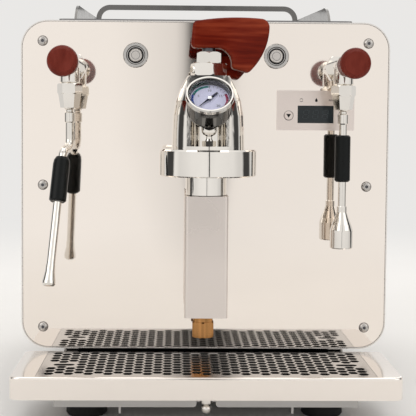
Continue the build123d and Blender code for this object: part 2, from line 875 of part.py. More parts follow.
# Paddle outline: X from the spindle's axis, Z from the underside of its block
block_corners = ((-17.0, 0.0), (-14.5, 24.0))
tip_corners = ((19.9, -18.3), (36.0, -22.3))
nose_corner = (54.6, 26.0)
block_end = spindle_collar_radius + 0.5
with BuildPart() as wood_paddle:
    with BuildSketch(Plane((0, group_y, paddle_z), x_dir=(1, 0, 0), z_dir=(0, -1, 0))) as side_view:
        with BuildLine():
            Line(block_corners[0], (block_end, 0))
            Line(block_corners[0], block_corners[1])
            ThreePointArc(block_corners[1], (20, 27.6), nose_corner)
            ThreePointArc(nose_corner, (51.4, 0.5), tip_corners[1])
            Line(tip_corners[1], tip_corners[0])
            TangentArc((block_end, 0), tip_corners[0], tangent=(1, 0))
        make_face()
        for corners, radius in (
            (block_corners, paddle_corner),
            (tip_corners, paddle_tip),
            ((nose_corner,), paddle_nose),
        ):
            for corner in corners:
                fillet(side_view.vertices().sort_by_distance((*corner, 0))[0], radius)
    extrude(amount=paddle_thickness / 2, both=True)
    fillet(wood_paddle.faces().filter_by(Axis.Y).edges(), paddle_round)
    with Locations((0, group_y, paddle_z + 8)):
        Cylinder(spindle_radius + running_gap, 16.1, mode=Mode.SUBTRACT)
wood_paddle.part.label = "wood_paddle"
export_step(wood_paddle.part, "parts/wood_paddle.step")

# ------------------------------------------------------------------ exhaust column
column_y = ahead(column_ahead)
column_bottom = tray_top + column_above_grid
column_top = collar_bottom - chamber_height
with BuildPart() as exhaust_chamber:
    turn(
        standing(0, column_y),
        (0, column_bottom),
        (drain_bore + 2, column_bottom),
        (drain_bore + 2, column_top - 6),
        (chamber_radius - 3, column_top),
        (chamber_radius, column_top + 0.5),
        (chamber_radius, collar_bottom - 1.2),
        (chamber_radius - 1, collar_bottom - seat_gap),
        (0, collar_bottom - seat_gap),
    )
    # seat against the group's trunk
    with BuildSketch(Plane.XY.offset(collar_bottom - 1)):
        with Locations((0, ahead((22 + trunk_ahead) / 2))):
            Rectangle(20, trunk_ahead - 22)
    extrude(amount=1)
exhaust_chamber.part.label = "exhaust_chamber"
export_step(exhaust_chamber.part, "parts/exhaust_chamber.step")

with BuildPart() as column_cover:
    for inset, mode in ((0, Mode.ADD), (column_sheet, Mode.SUBTRACT)):
        with BuildSketch(Plane.XY.offset(column_bottom + inset)):
            with Locations((0, column_y)):
                RectangleRounded(
                    column_width - 2 * inset,
                    column_depth - 2 * inset,
                    column_round - inset / 2,
                )
        extrude(amount=column_top - column_bottom - 2 * inset, mode=mode)
    # round holes for the chamber above and the drain below
    with Locations((0, column_y, (column_top + column_bottom) / 2)):
        Cylinder(
            drain_bore + 2 + seat_gap, column_top - column_bottom + 2, mode=Mode.SUBTRACT
        )
    with Locations((0, column_y, column_top)):
        Cylinder(chamber_radius - 2, 4 * column_sheet, mode=Mode.SUBTRACT)
column_cover.part.label = "column_cover"
export_step(column_cover.part, "parts/column_cover.step")

drain_upper = hexagon(
    Plane((-drain_offset, column_y, column_bottom - drain_flange), x_dir=(0, -1, 0)),
    drain_flats,
    drain_flange,
)
drain_foot = hexagon(
    Plane((-drain_offset, column_y, column_bottom - drain_height), x_dir=(0, -1, 0)),
    drain_foot_flats,
    drain_height - drain_flange,
    1.0,
)
with BuildPart() as drain_nut:
    add(drain_upper)
    add(drain_foot)
    with Locations((-drain_offset, column_y, column_bottom - drain_height / 2)):
        Cylinder(drain_bore, drain_height + 2, mode=Mode.SUBTRACT)
drain_nut.part.label = "drain_nut"
export_step(drain_nut.part, "parts/drain_nut.step")

# ------------------------------------------------------------------ group gauge
tilt = math.radians(gauge_tilt)
gauge_normal = (0, -math.cos(tilt), math.sin(tilt))
gauge_axis = along((0, ahead(gauge_ahead), gauge_z), gauge_normal)
dial_floor = -dial_depth
with BuildPart() as gauge_case:
    turn(
        gauge_axis,
        (0, -barrel_depth),
        (barrel_radius - 3, -barrel_depth),
        (barrel_radius - 0.8, -barrel_depth + 1.2),
        (barrel_radius, -barrel_depth + 3.5),
        (barrel_radius, -bezel_depth),
        (bezel_radius - 0.4, -bezel_depth),
        (bezel_radius, -bezel_depth + 0.8),
        (bezel_radius, -1.2),
        (bezel_radius - bezel_chamfer, 0),
        (bezel_radius - 2.2, 0),
        (dial_radius + 1.2, -1.0),
        (dial_radius + 1.2, -1.0 - glass_thickness),
        (dial_radius + seat_gap, -1.0 - glass_thickness),
        (dial_radius + seat_gap, dial_floor),
        (0, dial_floor),
    )
gauge_case.part.label = "gauge_case"
export_step(gauge_case.part, "parts/gauge_case.step")

with BuildPart() as gauge_dial:
    turn(
        gauge_axis,
        (0, dial_floor),
        (dial_radius, dial_floor),
        (dial_radius, dial_floor + dial_thickness),
        (0, dial_floor + dial_thickness),
    )
gauge_dial.part.label = "gauge_dial"
export_step(gauge_dial.part, "parts/gauge_dial.step")

with BuildPart() as gauge_glass:
    turn(
        gauge_axis,
        (0, -1.0 - glass_thickness),
        (dial_radius + 1.1, -1.0 - glass_thickness),
        (dial_radius + 1.1, -1.0),
        (0, -1.0),
    )
gauge_glass.part.label = "gauge_glass"
export_step(gauge_glass.part, "parts/gauge_glass.step")

# needle: points to the dial's lower left at rest, with a short broad tail
needle_floor = dial_floor + dial_thickness + 1.2
needle_base = Vector(*gauge_axis.origin) + Vector(*gauge_normal) * needle_floor
with BuildPart() as gauge_needle:
    with BuildSketch(Plane(needle_base, x_dir=(1, 0, 0), z_dir=gauge_normal)):
        with BuildLine(Plane.XY.rotated((0, 0, 225))):
            Polyline((14.2, 0.0), (0, 1.0), (-10, 0.9), (-10, -0.9), (0, -1.0), close=True)
        make_face()
    extrude(amount=0.5)
    turn(
        along(needle_base, gauge_normal),
        (0, -0.9),
        (1.0, -0.9),
        (1.0, 0),
        (1.9, 0),
        (1.9, 1.4),
        (0, 1.4),
    )
gauge_needle.part.label = "gauge_needle"
export_step(gauge_needle.part, "parts/gauge_needle.step")

# ------------------------------------------------------------------ valves and wands
outlet_y = ahead(outlet_ahead)
nut_top = body_top - nut_drop
cone_top = nut_top - nut_height
nut_bottom = cone_top - cone_height
outlet_bottom = joint_z + joint_radius + 4.0
thread_radius = joint_radius + 0.3
collar_drop = joint_radius + 0.8  # from the joint's centre to the wand's collar
for name, side in (("steam", -1), ("water", 1)):
    x = side * valve_x
    with BuildPart() as valve_body:
        # barrel through the panel, hexagon against it and bonnet in front
        turn(
            pointing(x, valve_z),
            (0, -16),
            (valve_radius, -16),
            (valve_radius, 44),
            (valve_radius - 1.5, 46),
            (valve_radius - 1.5, 50),
            (0, 50),
        )
        add(hexagon(Plane(pointing(x, valve_z).origin, x_dir=(1, 0, 0), z_dir=(0, -1, 0)), 24, 6))
        add(hexagon(Plane((x, ahead(50), valve_z), x_dir=(1, 0, 0), z_dir=(0, -1, 0)), 17, 8))
        # outlet branch with the thread that carries the nut
        turn(
            standing(x, outlet_y),
            (0, valve_z + 5),
            (outlet_radius - 1.5, valve_z + 5),
            (outlet_radius, valve_z - 3),
            (outlet_radius, nut_top + 1.5),
            (outlet_radius - 1.0, nut_top),
            (thread_radius, nut_top),
            (thread_radius, outlet_bottom),
            (0, outlet_bottom),
        )
        turn(
            standing(x, outlet_y),
            (0, outlet_bottom - 1),
            (2.5, outlet_bottom - 1),
            (2.5, valve_z),
            (0, valve_z),
            mode=Mode.SUBTRACT,
        )
        turn(
            pointing(x, valve_z),
            (0, outlet_ahead - 6),
            (stem_radius + running_gap, outlet_ahead - 6),
            (stem_radius + running_gap, 59),
            (0, 59),
            mode=Mode.SUBTRACT,
        )
    valve_body.part.label = f"{name}_valve_body"
    export_step(valve_body.part, f"parts/{name}_valve_body.step")

    with BuildPart() as valve_stem:
        turn(
            pointing(x, valve_z),
            (0, outlet_ahead - 4),
            (stem_radius, outlet_ahead - 4),
            (stem_radius, 58.5),
            (ferrule_radius - 4, 58.5),
            (ferrule_radius, 61.5),
            (ferrule_radius, knob_start - 1.0),
            (ferrule_radius - 0.8, knob_start),
            (stem_radius, knob_start),
            (stem_radius, knob_start + 20),
            (0, knob_start + 20),
        )
    valve_stem.part.label = f"{name}_valve_stem"
    export_step(valve_stem.part, f"parts/{name}_valve_stem.step")

    with BuildPart() as valve_knob:
        turn(
            pointing(x, valve_z),
            (stem_radius + running_gap, knob_start),
            (knob_radius - 3.6, knob_start),
            (knob_radius - 3.0, knob_start + 1.0),
            (knob_radius - 3.0, knob_start + 9),
            (knob_radius - 1.9, knob_start + 18),
            (knob_radius - 0.6, knob_start + 27),
            (knob_radius, knob_start + 34),
            (knob_radius, knob_start + 37),
            (knob_radius - 0.9, knob_start + 39.4),
            (knob_radius - 3.6, knob_start + knob_length),
            (0, knob_start + knob_length),
            (0, knob_start + 20.1),
            (stem_radius + running_gap, knob_start + 20.1),
        )
    valve_knob.part.label = f"{name}_knob"
    export_step(valve_knob.part, f"parts/{name}_knob.step")

    nut_blank = hexagon(Plane((x, outlet_y, cone_top)), nut_flats, nut_height, 1.2)
    with BuildPart() as wand_nut:
        add(nut_blank)
        # tapered hexagon down to the mouth of the ball joint
        with BuildSketch(Plane((x, outlet_y, nut_bottom))):
            RegularPolygon(cone_bottom_flats / 2, 6, major_radius=False)
        with BuildSketch(Plane((x, outlet_y, cone_top))):
            RegularPolygon(cone_top_flats / 2, 6, major_radius=False)
        loft()
        with Locations((x, outlet_y, joint_z)):
            Sphere(joint_radius + seat_gap, mode=Mode.SUBTRACT)
        turn(
            standing(x, outlet_y),
            (0, joint_z),
            (joint_radius + seat_gap, joint_z),
            (joint_radius + seat_gap, outlet_bottom - 1),
            (thread_radius + running_gap, outlet_bottom - 1),
            (thread_radius + running_gap, nut_top + 1),
            (0, nut_top + 1),
            mode=Mode.SUBTRACT,
        )
    wand_nut.part.label = f"{name}_wand_nut"
    export_step(wand_nut.part, f"parts/{name}_wand_nut.step")

    # ring that presses on the ball and turns with it
    ring_inner = joint_radius - 2.3
    ring_bottom = joint_z + math.sqrt(joint_radius**2 - ring_inner**2) + travel_gap
    with BuildPart() as wand_seat:
        turn(
            standing(x, outlet_y),
            (ring_inner, ring_bottom),
            (joint_radius, ring_bottom),
            (joint_radius, outlet_bottom - travel_gap),
            (ring_inner, outlet_bottom - travel_gap),
        )
    wand_seat.part.label = f"{name}_wand_seat"
    export_step(wand_seat.part, f"parts/{name}_wand_seat.step")

# ball, neck and collar at the top of each wand, as an outline below the joint's centre
collar_z = joint_z - collar_drop
joint_outline = (
    (0, joint_z),
    (3.5, joint_z),
    (3.5, collar_z),
    (4.3, collar_z),
    (5.0, collar_z - 1.0),
    (5.0, collar_z - 9.5),
    (wand_radius, collar_z - 10.5),
    (0, collar_z - 10.5),
)

# Steam wand: down, forward in an S-bend, then down and forward to its tip
steam_x = -valve_x
elbow_z = collar_z - 35.5
grip_start = Vector(steam_x - 4.8, ahead(outlet_ahead + 18.5), joint_z - 47.0)
tip_end = Vector(steam_x - 13.5, ahead(outlet_ahead + 59), joint_z - 166.5)
lower_axis = (tip_end - grip_start).normalized()
lower_length = (tip_end - grip_start).length
steam_tip_length = 20.0
with BuildPart() as steam_wand_tube:
    turn(standing(steam_x, outlet_y), *joint_outline)
    with Locations((steam_x, outlet_y, joint_z)):
        Sphere(joint_radius)
    with BuildLine():
        steam_path = FilletPolyline(
            (steam_x, outlet_y, collar_z - 5),
            (steam_x, outlet_y, elbow_z),
            tuple(grip_start - lower_axis * 4),
            tuple(tip_end - lower_axis * steam_tip_length),
            radius=10,
        )
    with BuildSketch(Plane(steam_path @ 0, z_dir=steam_path % 0)):
        Circle(wand_radius)
    sweep()
steam_wand_tube.part.label = "steam_wand_tube"
export_step(steam_wand_tube.part, "parts/steam_wand_tube.step")

steam_line = along(tuple(grip_start), tuple(lower_axis))
grip_length = 47.0
with BuildPart() as steam_wand_grip:
    turn(
        steam_line,
        (wand_radius + running_gap, 6),
        (steam_grip_radius - 2.0, 4),
        (steam_grip_radius - 0.5, 7),
        (steam_grip_radius, 11),
        (steam_grip_radius, grip_length - 1.5),
        (steam_grip_radius - 1.5, grip_length),
        (wand_radius + running_gap, grip_length),
    )
steam_wand_grip.part.label = "steam_wand_grip"
export_step(steam_wand_grip.part, "parts/steam_wand_grip.step")

with BuildPart() as steam_wand_tip:
    turn(
        steam_line,
        (0, lower_length - steam_tip_length),
        (wand_radius + 0.3, lower_length - steam_tip_length),
        (wand_radius + 0.5, lower_length - 14),
        (6.1, lower_length - 4.5),
        (6.1, lower_length - 2.0),
        (5.0, lower_length - 0.4),
        (3.5, lower_length),
        (0, lower_length),
    )
steam_wand_tip.part.label = "steam_wand_tip"
export_step(steam_wand_tip.part, "parts/steam_wand_tip.step")

# Hot-water wand: straight down to a bell-shaped nozzle
water_x = valve_x
nozzle_top = joint_z - 96.5
nozzle_bottom = joint_z - 137.5
water_grip_top = joint_z - 28.0
water_grip_bottom = joint_z - 73.0
with BuildPart() as water_wand_tube:
    turn(standing(water_x, outlet_y), *joint_outline)
    with Locations((water_x, outlet_y, joint_z)):
        Sphere(joint_radius)
    turn(
        standing(water_x, outlet_y),
        (0, nozzle_top),
        (wand_radius - seat_gap, nozzle_top),
        (wand_radius - seat_gap, collar_z - 9),
        (0, collar_z - 9),
    )
water_wand_tube.part.label = "water_wand_tube"
export_step(water_wand_tube.part, "parts/water_wand_tube.step")

with BuildPart() as water_wand_grip:
    turn(
        standing(water_x, outlet_y),
        (wand_radius, water_grip_bottom),
        (water_grip_radius - 1.5, water_grip_bottom),
        (water_grip_radius, water_grip_bottom + 1.5),
        (water_grip_radius, water_grip_top - 1.5),
        (water_grip_radius - 1.5, water_grip_top),
        (wand_radius, water_grip_top),
    )
water_wand_grip.part.label = "water_wand_grip"
export_step(water_wand_grip.part, "parts/water_wand_grip.step")

with BuildPart() as water_wand_nozzle:
    turn(
        standing(water_x, outlet_y),
        (0, nozzle_top),
        (4.4, nozzle_top),
        (4.9, nozzle_top - 0.6),
        (4.9, nozzle_top - 6),
        (6.6, nozzle_top - 11),
        (9.4, nozzle_top - 18),
        (10.9, nozzle_top - 23),
        (11.0, nozzle_top - 24),
        (11.0, nozzle_bottom + 0.8),
        (10.2, nozzle_bottom),
        (9.4, nozzle_bottom),
        (9.0, nozzle_bottom + 3),
        (0, nozzle_bottom + 3),
    )
water_wand_nozzle.part.label = "water_wand_nozzle"
export_step(water_wand_nozzle.part, "parts/water_wand_nozzle.step")

# ------------------------------------------------------------------ gauge adapter
adapter_y = ahead(adapter_ahead)
adapter_z = collar_top + ledge_height
adapter_top = gauge_z - 8
adapter_nut = hexagon(Plane((0, adapter_y, adapter_z)), 11, 5, 0.6)
with BuildPart() as gauge_adapter:
    add(adapter_nut)
    # goblet-shaped union, with the neck that the gauge's case stands on
    turn(
        standing(0, adapter_y),
        (0, adapter_z + 4),
        (3.6, adapter_z + 5),
        (2.6, adapter_z + 7),
        (2.8, adapter_z + 9),
        (5.2, adapter_z + 10.5),
        (6.5, adapter_z + 12.5),
        (6.9, adapter_z + 14.5),
        (6.9, adapter_z + 17),
        (6.0, adapter_z + 19),
        (6.0, adapter_top),
        (0, adapter_top),
    )
    turn(
        gauge_axis,
        (0, -barrel_depth),
        (barrel_radius + 5, -barrel_depth),
        (barrel_radius + 5, 5),
        (0, 5),
        mode=Mode.SUBTRACT,
    )
gauge_adapter.part.label = "gauge_adapter"
export_step(gauge_adapter.part, "parts/gauge_adapter.step")

# ------------------------------------------------------------------ push buttons
for name, side in (("power", -1), ("brew", 1)):
    x = side * button_x
    with BuildPart() as button_bezel:
        turn(
            pointing(x, button_z),
            (0, -20),
            (button_barrel, -20),
            (button_barrel, 0),
            (button_flange, 0),
            (button_flange, 1.2),
            (button_flange - 0.8, 2.0),
            (button_ring + 0.8, 2.0),
            (button_ring, 0.6),
            (button_cap + seat_gap, 0.6),
            (button_cap + seat_gap, -16),
            (0, -16),
        )
    button_bezel.part.label = f"{name}_button_bezel"
    export_step(button_bezel.part, f"parts/{name}_button_bezel.step")

    with BuildPart() as button_cap_part:
        turn(
            pointing(x, button_z),
            (0, -16 + button_travel + travel_gap),
            (button_cap, -16 + button_travel + travel_gap),
            (button_cap, 1.6),
            (button_cap - 0.6, 2.2),
            (0, 2.2),
        )
    button_cap_part.part.label = f"{name}_button_cap"
    export_step(button_cap_part.part, f"parts/{name}_button_cap.step")

# ------------------------------------------------------------------ display
key_z = display_z + key_offset_z
with BuildPart() as display_plate:
    with BuildSketch(facing(0)):
        with Locations((display_x, display_z)):
            RectangleRounded(display_width, display_height, 0.8)
        with Locations((display_x, display_z + window_offset_z)):
            Rectangle(window_width, window_height, mode=Mode.SUBTRACT)
        with Locations((display_x - key_spacing / 2, key_z), (display_x + key_spacing / 2, key_z)):
            Circle(key_radius + seat_gap, mode=Mode.SUBTRACT)
    extrude(amount=display_thickness)
display_plate.part.label = "display_plate"
export_step(display_plate.part, "parts/display_plate.step")

board_front = -front_thickness - 1.0
with BuildPart() as display_window:
    with BuildSketch(facing(board_front)):
        with Locations((display_x, display_z)):
            Rectangle(display_width - 10, display_height - 10)
    extrude(amount=-1.6)
    with BuildSketch(facing(board_front)):
        with Locations((display_x, display_z + window_offset_z)):
            Rectangle(window_width - 2 * seat_gap, window_height - 2 * seat_gap)
    extrude(amount=-board_front + display_thickness - 0.4)
display_window.part.label = "display_window"
export_step(display_window.part, "parts/display_window.step")

for name, side in (("down", -1), ("up", 1)):
    with BuildPart() as display_key:
        turn(
            pointing(display_x + side * key_spacing / 2, key_z),
            (0, board_front + key_travel + 0.2),
            (key_radius, board_front + key_travel + 0.2),
            (key_radius, display_thickness + 0.2),
            (key_radius - 0.4, display_thickness + 0.6),
            (0, display_thickness + 0.6),
        )
    display_key.part.label = f"display_key_{name}"
    export_step(display_key.part, f"parts/display_key_{name}.step")

# ------------------------------------------------------------------ inside
deck_z = body_bottom + shell_wall
deck_top = deck_z + deck_sheet
tank_rear = body_depth - tank_rear_gap
tank_front = tank_rear - tank_depth
tank_top = body_top - tank_top_gap
tank_y = behind((tank_front + tank_rear) / 2)
shelf_half = tank_width / 2 + 3
saddle_x = boiler_length / 3
with BuildPart() as inner_deck:
    with BuildSketch(Plane.XY.offset(deck_z)):
        with Locations((0, behind(body_depth / 2))):
            Rectangle(2 * (half_width - corner_radius - 4), body_depth - 30)
    extrude(amount=deck_sheet)
    # saddles of the boiler
    for side in (-1, 1):
        with BuildSketch(Plane.YZ.offset(side * saddle_x - 1.5)):
            with Locations((behind(boiler_behind), (deck_top + boiler_z - 30) / 2)):
                Rectangle(1.6 * boiler_radius, boiler_z - 30 - deck_top)
            with Locations((behind(boiler_behind), boiler_z)):
                Circle(boiler_radius + saddle_gap, mode=Mode.SUBTRACT)
        extrude(amount=3)
    # shelf of the tank on two legs
    with BuildSketch(Plane.XY.offset(shelf_z)):
        with Locations((0, tank_y)):
            Rectangle(2 * shelf_half, tank_depth + 4)
    extrude(amount=-deck_sheet)
    with BuildSketch(Plane.XY.offset(deck_top)):
        for side in (-1, 1):
            with Locations((side * (shelf_half - deck_sheet / 2), tank_y)):
                Rectangle(deck_sheet, tank_depth + 4)
    extrude(amount=shelf_z - deck_top)
    # cradle of the pump's motor
    with BuildSketch(Plane.YZ.offset(-motor_length / 3)):
        with Locations((tank_y, (deck_top + motor_z - 20) / 2)):
            Rectangle(1.2 * motor_radius, motor_z - 20 - deck_top)
        with Locations((tank_y, motor_z)):
            Circle(motor_radius + saddle_gap, mode=Mode.SUBTRACT)
    extrude(amount=2 * motor_length / 3)
inner_deck.part.label = "inner_deck"
export_step(inner_deck.part, "parts/inner_deck.step")

boiler_y = behind(boiler_behind)
boiler_half = boiler_length / 2
boss_reach = boiler_radius + boiler_boss
with BuildPart() as boiler:
    # drawn shell with a dished end, a bolted flange and a port for its heater
    turn(
        Plane(origin=(0, boiler_y, boiler_z), x_dir=(0, 0, 1), z_dir=(0, 1, 0)),
        (heater_port, -boiler_half),
        (boiler_radius - 18, -boiler_half),
        (boiler_radius - 4, -boiler_half + 5),
        (boiler_radius, -boiler_half + 14),
        (boiler_radius, boiler_half - 8),
        (boiler_radius + 6, boiler_half - 8),
        (boiler_radius + 6, boiler_half),
        (0, boiler_half),
        (0, boiler_half - 5),
        (boiler_radius - boiler_wall, boiler_half - 5),
        (boiler_radius - boiler_wall, -boiler_half + 15),
        (boiler_radius - 19, -boiler_half + boiler_wall),
        (heater_port, -boiler_half + boiler_wall),
    )
    # bosses that the pipes stand on
    for x in (-boss_spread, 0, boss_spread):
        with Locations((x, boiler_y, boiler_z + boss_reach - boiler_boss / 2 - 0.5)):
            Cylinder(6, boiler_boss + 1)
    with Locations((0, boiler_y + boss_reach - boiler_boss / 2 - 0.5, boiler_z)):
        Cylinder(6, boiler_boss + 1, rotation=(90, 0, 0))
boiler.part.label = "boiler"
export_step(boiler.part, "parts/boiler.step")

lying_motor = Plane(origin=(0, tank_y, motor_z), x_dir=(0, 0, 1), z_dir=(0, 1, 0))
motor_half = motor_length / 2
with BuildPart() as pump_motor:
    turn(
        lying_motor,
        (0, -motor_half),
        (motor_radius - 6, -motor_half),
        (motor_radius, -motor_half + 6),
        (motor_radius, motor_half),
        (0, motor_half),
    )
pump_motor.part.label = "pump_motor"
export_step(pump_motor.part, "parts/pump_motor.step")

pump_length = 40.0
with BuildPart() as pump:
    turn(
        lying_motor,
        (0, motor_half),
        (30, motor_half),
        (30, motor_half + 6),
        (24, motor_half + 8),
        (24, motor_half + pump_length),
        (0, motor_half + pump_length),
    )
    with Locations((motor_half + 24, tank_y - 14, motor_z)):
        Cylinder(6, 28, rotation=(90, 0, 0))
pump.part.label = "pump"
export_step(pump.part, "parts/pump.step")

with BuildPart() as control_box:
    with BuildSketch(Plane.XY.offset(deck_top)):
        with Locations((-shelf_half - 18, behind(body_depth - 100))):
            RectangleRounded(28, 120, 3)
    extrude(amount=90)
control_box.part.label = "control_box"
export_step(control_box.part, "parts/control_box.step")

with BuildPart() as water_tank:
    with BuildSketch(Plane.XY.offset(shelf_z)):
        with Locations((0, tank_y)):
            RectangleRounded(tank_width, tank_depth, 8)
    extrude(amount=tank_top - shelf_z)
    with BuildSketch(Plane.XY.offset(shelf_z + tank_wall)):
        with Locations((0, tank_y)):
            RectangleRounded(tank_width - 2 * tank_wall, tank_depth - 2 * tank_wall, 8 - tank_wall)
    extrude(amount=tank_top - shelf_z, mode=Mode.SUBTRACT)
water_tank.part.label = "water_tank"
export_step(water_tank.part, "parts/water_tank.step")

# pipes: boiler to both valves, boiler to the group and back, pump to boiler
boiler_top = boiler_z + boss_reach
valve_tail = behind(16)
pump_port_y = tank_y - 28
boss_y = behind(boiler_behind + boss_reach)
feed_y = boss_y + feed_share * (pump_port_y - boss_y)
routes = [
    [
        (side * boss_spread, boiler_y, boiler_top),
        (side * boss_spread, boiler_y, valve_z - 30),
        (side * valve_x, behind(56), valve_z),
        (side * valve_x, valve_tail, valve_z),
    ]
    for side in (-1, 1)
]
routes.append(
    [
        (0, boiler_y, boiler_top),
        (0, boiler_y, collar_top + bell_height / 2 + 12),
        (0, ahead(0), collar_top + bell_height / 2 + 12),
    ]
)
routes.append(
    [
        (motor_half + 24, pump_port_y, motor_z),
        (motor_half + 24, feed_y, motor_z),
        (0, feed_y, boiler_z),
        (0, boss_y, boiler_z),
    ]
)
with BuildPart() as copper_pipes:
    for route in routes:
        with BuildLine():
            end_run = (Vector(route[-1]) - Vector(route[-2])).length
            pipe_path = FilletPolyline(*route, radius=min(pipe_bend, end_run - 1))
        with BuildSketch(Plane(pipe_path @ 0, z_dir=pipe_path % 0)):
            Circle(pipe_radius)
        sweep()
copper_pipes.part.label = "copper_pipes"
export_step(copper_pipes.part, "parts/copper_pipes.step")
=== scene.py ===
import json
import math

import bpy
from mathutils import Matrix, Vector


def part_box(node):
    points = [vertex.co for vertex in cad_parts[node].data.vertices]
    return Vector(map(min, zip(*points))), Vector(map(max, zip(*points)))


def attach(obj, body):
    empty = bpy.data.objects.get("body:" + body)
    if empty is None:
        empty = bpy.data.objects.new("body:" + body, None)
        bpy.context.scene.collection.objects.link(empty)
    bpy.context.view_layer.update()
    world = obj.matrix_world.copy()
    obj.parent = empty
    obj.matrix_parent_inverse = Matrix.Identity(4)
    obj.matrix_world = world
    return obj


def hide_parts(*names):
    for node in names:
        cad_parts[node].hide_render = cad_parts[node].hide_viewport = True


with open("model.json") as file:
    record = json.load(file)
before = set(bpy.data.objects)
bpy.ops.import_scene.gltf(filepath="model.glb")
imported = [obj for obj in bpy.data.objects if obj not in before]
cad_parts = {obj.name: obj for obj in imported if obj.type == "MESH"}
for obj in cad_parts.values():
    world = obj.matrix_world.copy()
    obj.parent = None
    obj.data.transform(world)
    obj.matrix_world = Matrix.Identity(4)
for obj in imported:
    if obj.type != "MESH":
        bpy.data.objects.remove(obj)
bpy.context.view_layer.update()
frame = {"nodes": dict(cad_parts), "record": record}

nodes = frame["nodes"]
slot_of = {part["node"]: part["material_slot"] for part in frame["record"]["subparts"]}
MM = 0.001

# ---------------------------------------------------------------- camera
camera_data = bpy.data.cameras.new("camera")
camera = bpy.data.objects.new("camera", camera_data)
bpy.context.scene.collection.objects.link(camera)
bpy.context.scene.camera = camera
yaw, pitch, roll = math.radians(1.21), math.radians(3.46), math.radians(0.43)
forward = Vector((math.sin(yaw) * math.cos(pitch), math.cos(yaw) * math.cos(pitch), -math.sin(pitch)))
level_right = Vector((math.cos(yaw), -math.sin(yaw), 0))
level_up = level_right.cross(forward)
right = level_right * math.cos(roll) + level_up * math.sin(roll)
up = level_up * math.cos(roll) - level_right * math.sin(roll)
camera.matrix_world = Matrix.Translation((-0.030, -1.140, 0.285)) @ (
    Matrix((right, up, -forward)).transposed().to_4x4()
)
camera_data.sensor_width = 36.0
camera_data.lens = 90.3
camera_data.shift_x = 0.026
camera_data.shift_y = -0.057
camera_data.clip_start, camera_data.clip_end = 0.05, 50.0


# ---------------------------------------------------------------- material helpers
def add(mat, kind, **inputs):
    """A new node, with its inputs set by name."""
    node = mat.node_tree.nodes.new(kind)
    for key, value in inputs.items():
        node.inputs[key.replace("_", " ")].default_value = value
    return node


def wire(mat, output, target):
    """A link between two sockets."""
    mat.node_tree.links.new(output, target)


def plain(name, colour, metallic=0.0, roughness=0.5, **more):
    """A material whose shader holds these constants."""
    mat = bpy.data.materials.new(name)
    mat.use_nodes = True
    shader = mat.node_tree.nodes["Principled BSDF"]
    shader.inputs["Base Color"].default_value = (*colour, 1)
    shader.inputs["Metallic"].default_value = metallic
    shader.inputs["Roughness"].default_value = roughness
    for key, value in more.items():
        shader.inputs[key.replace("_", " ")].default_value = value
    return mat, shader


def grain(mat, stretch, scale, detail=3.0, distortion=0.0):
    """Noise in the object's own space, stretched along its axes."""
    place = add(mat, "ShaderNodeTexCoord")
    mapping = add(mat, "ShaderNodeMapping", Scale=stretch)
    noise = add(mat, "ShaderNodeTexNoise", Scale=scale, Detail=detail, Distortion=distortion)
    wire(mat, place.outputs["Object"], mapping.inputs["Vector"])
    wire(mat, mapping.outputs["Vector"], noise.inputs["Vector"])
    return noise.outputs["Fac"]


def spread(mat, value, start, end, low=0.0, high=1.0, smooth=False):
    """A value's range from start to end, laid over low to high and held beyond it."""
    node = add(mat, "ShaderNodeMapRange", From_Min=start, From_Max=end, To_Min=low, To_Max=high)
    if smooth:
        node.interpolation_type = "SMOOTHSTEP"
    wire(mat, value, node.inputs["Value"])
    return node.outputs["Result"]


def between(mat, noise, low, high):
    """The middle of a noise, spread over the range from low to high."""
    return spread(mat, noise, 0.3, 0.7, low, high)


def combine(mat, operation, *values):
    """Values taken together, one after another, by a math operation."""
    result = values[0]
    for value in values[1:]:
        node = add(mat, "ShaderNodeMath")
        node.operation = operation
        wire(mat, result, node.inputs[0])
        wire(mat, value, node.inputs[1])
        result = node.outputs["Value"]
    return result


def vector_math(mat, operation, one, other=None):
    """A vector operation on an output, with a fixed second vector where it takes one."""
    node = add(mat, "ShaderNodeVectorMath")
    node.operation = operation
    wire(mat, one, node.inputs[0])
    if other is not None:
        node.inputs[1].default_value = other
    return node.outputs["Value" if operation in ("DOT_PRODUCT", "LENGTH") else "Vector"]


def axes_of(mat, vector):
    """The x, y and z outputs of a vector."""
    split = add(mat, "ShaderNodeSeparateXYZ")
    wire(mat, vector, split.inputs["Vector"])
    return [split.outputs[axis] for axis in "XYZ"]


def ramp(mat, value, *stops):
    """Colours at places along a value."""
    node = add(mat, "ShaderNodeValToRGB")
    elements = node.color_ramp.elements
    while len(elements) < len(stops):
        elements.new(0.5)
    for element, (place, colour) in zip(elements, stops):
        element.position = place
        element.color = (*colour, 1)
    wire(mat, value, node.inputs["Fac"])
    return node.outputs["Color"]


def relief(mat, shader, height, strength, distance):
    """A bump from a height."""
    node = add(mat, "ShaderNodeBump", Strength=strength, Distance=distance)
    wire(mat, height, node.inputs["Height"])
    wire(mat, node.outputs["Normal"], shader.inputs["Normal"])


def metal(name, colour, low, high, stretch=(1, 1, 1), scale=60.0, bump=0.0, tone=0.04):
    """Metal with roughness and tone that vary along its finish."""
    mat, shader = plain(name, colour, metallic=1.0)
    finish = grain(mat, stretch, scale, detail=4.0)
    wire(mat, between(mat, finish, low, high), shader.inputs["Roughness"])
    dark = tuple(c * (1 - tone) for c in colour)
    light = tuple(min(1.0, c * (1 + tone)) for c in colour)
    wire(mat, ramp(mat, finish, (0.3, dark), (0.7, light)), shader.inputs["Base Color"])
    if bump:
        relief(mat, shader, finish, bump, 0.0002)
    return mat


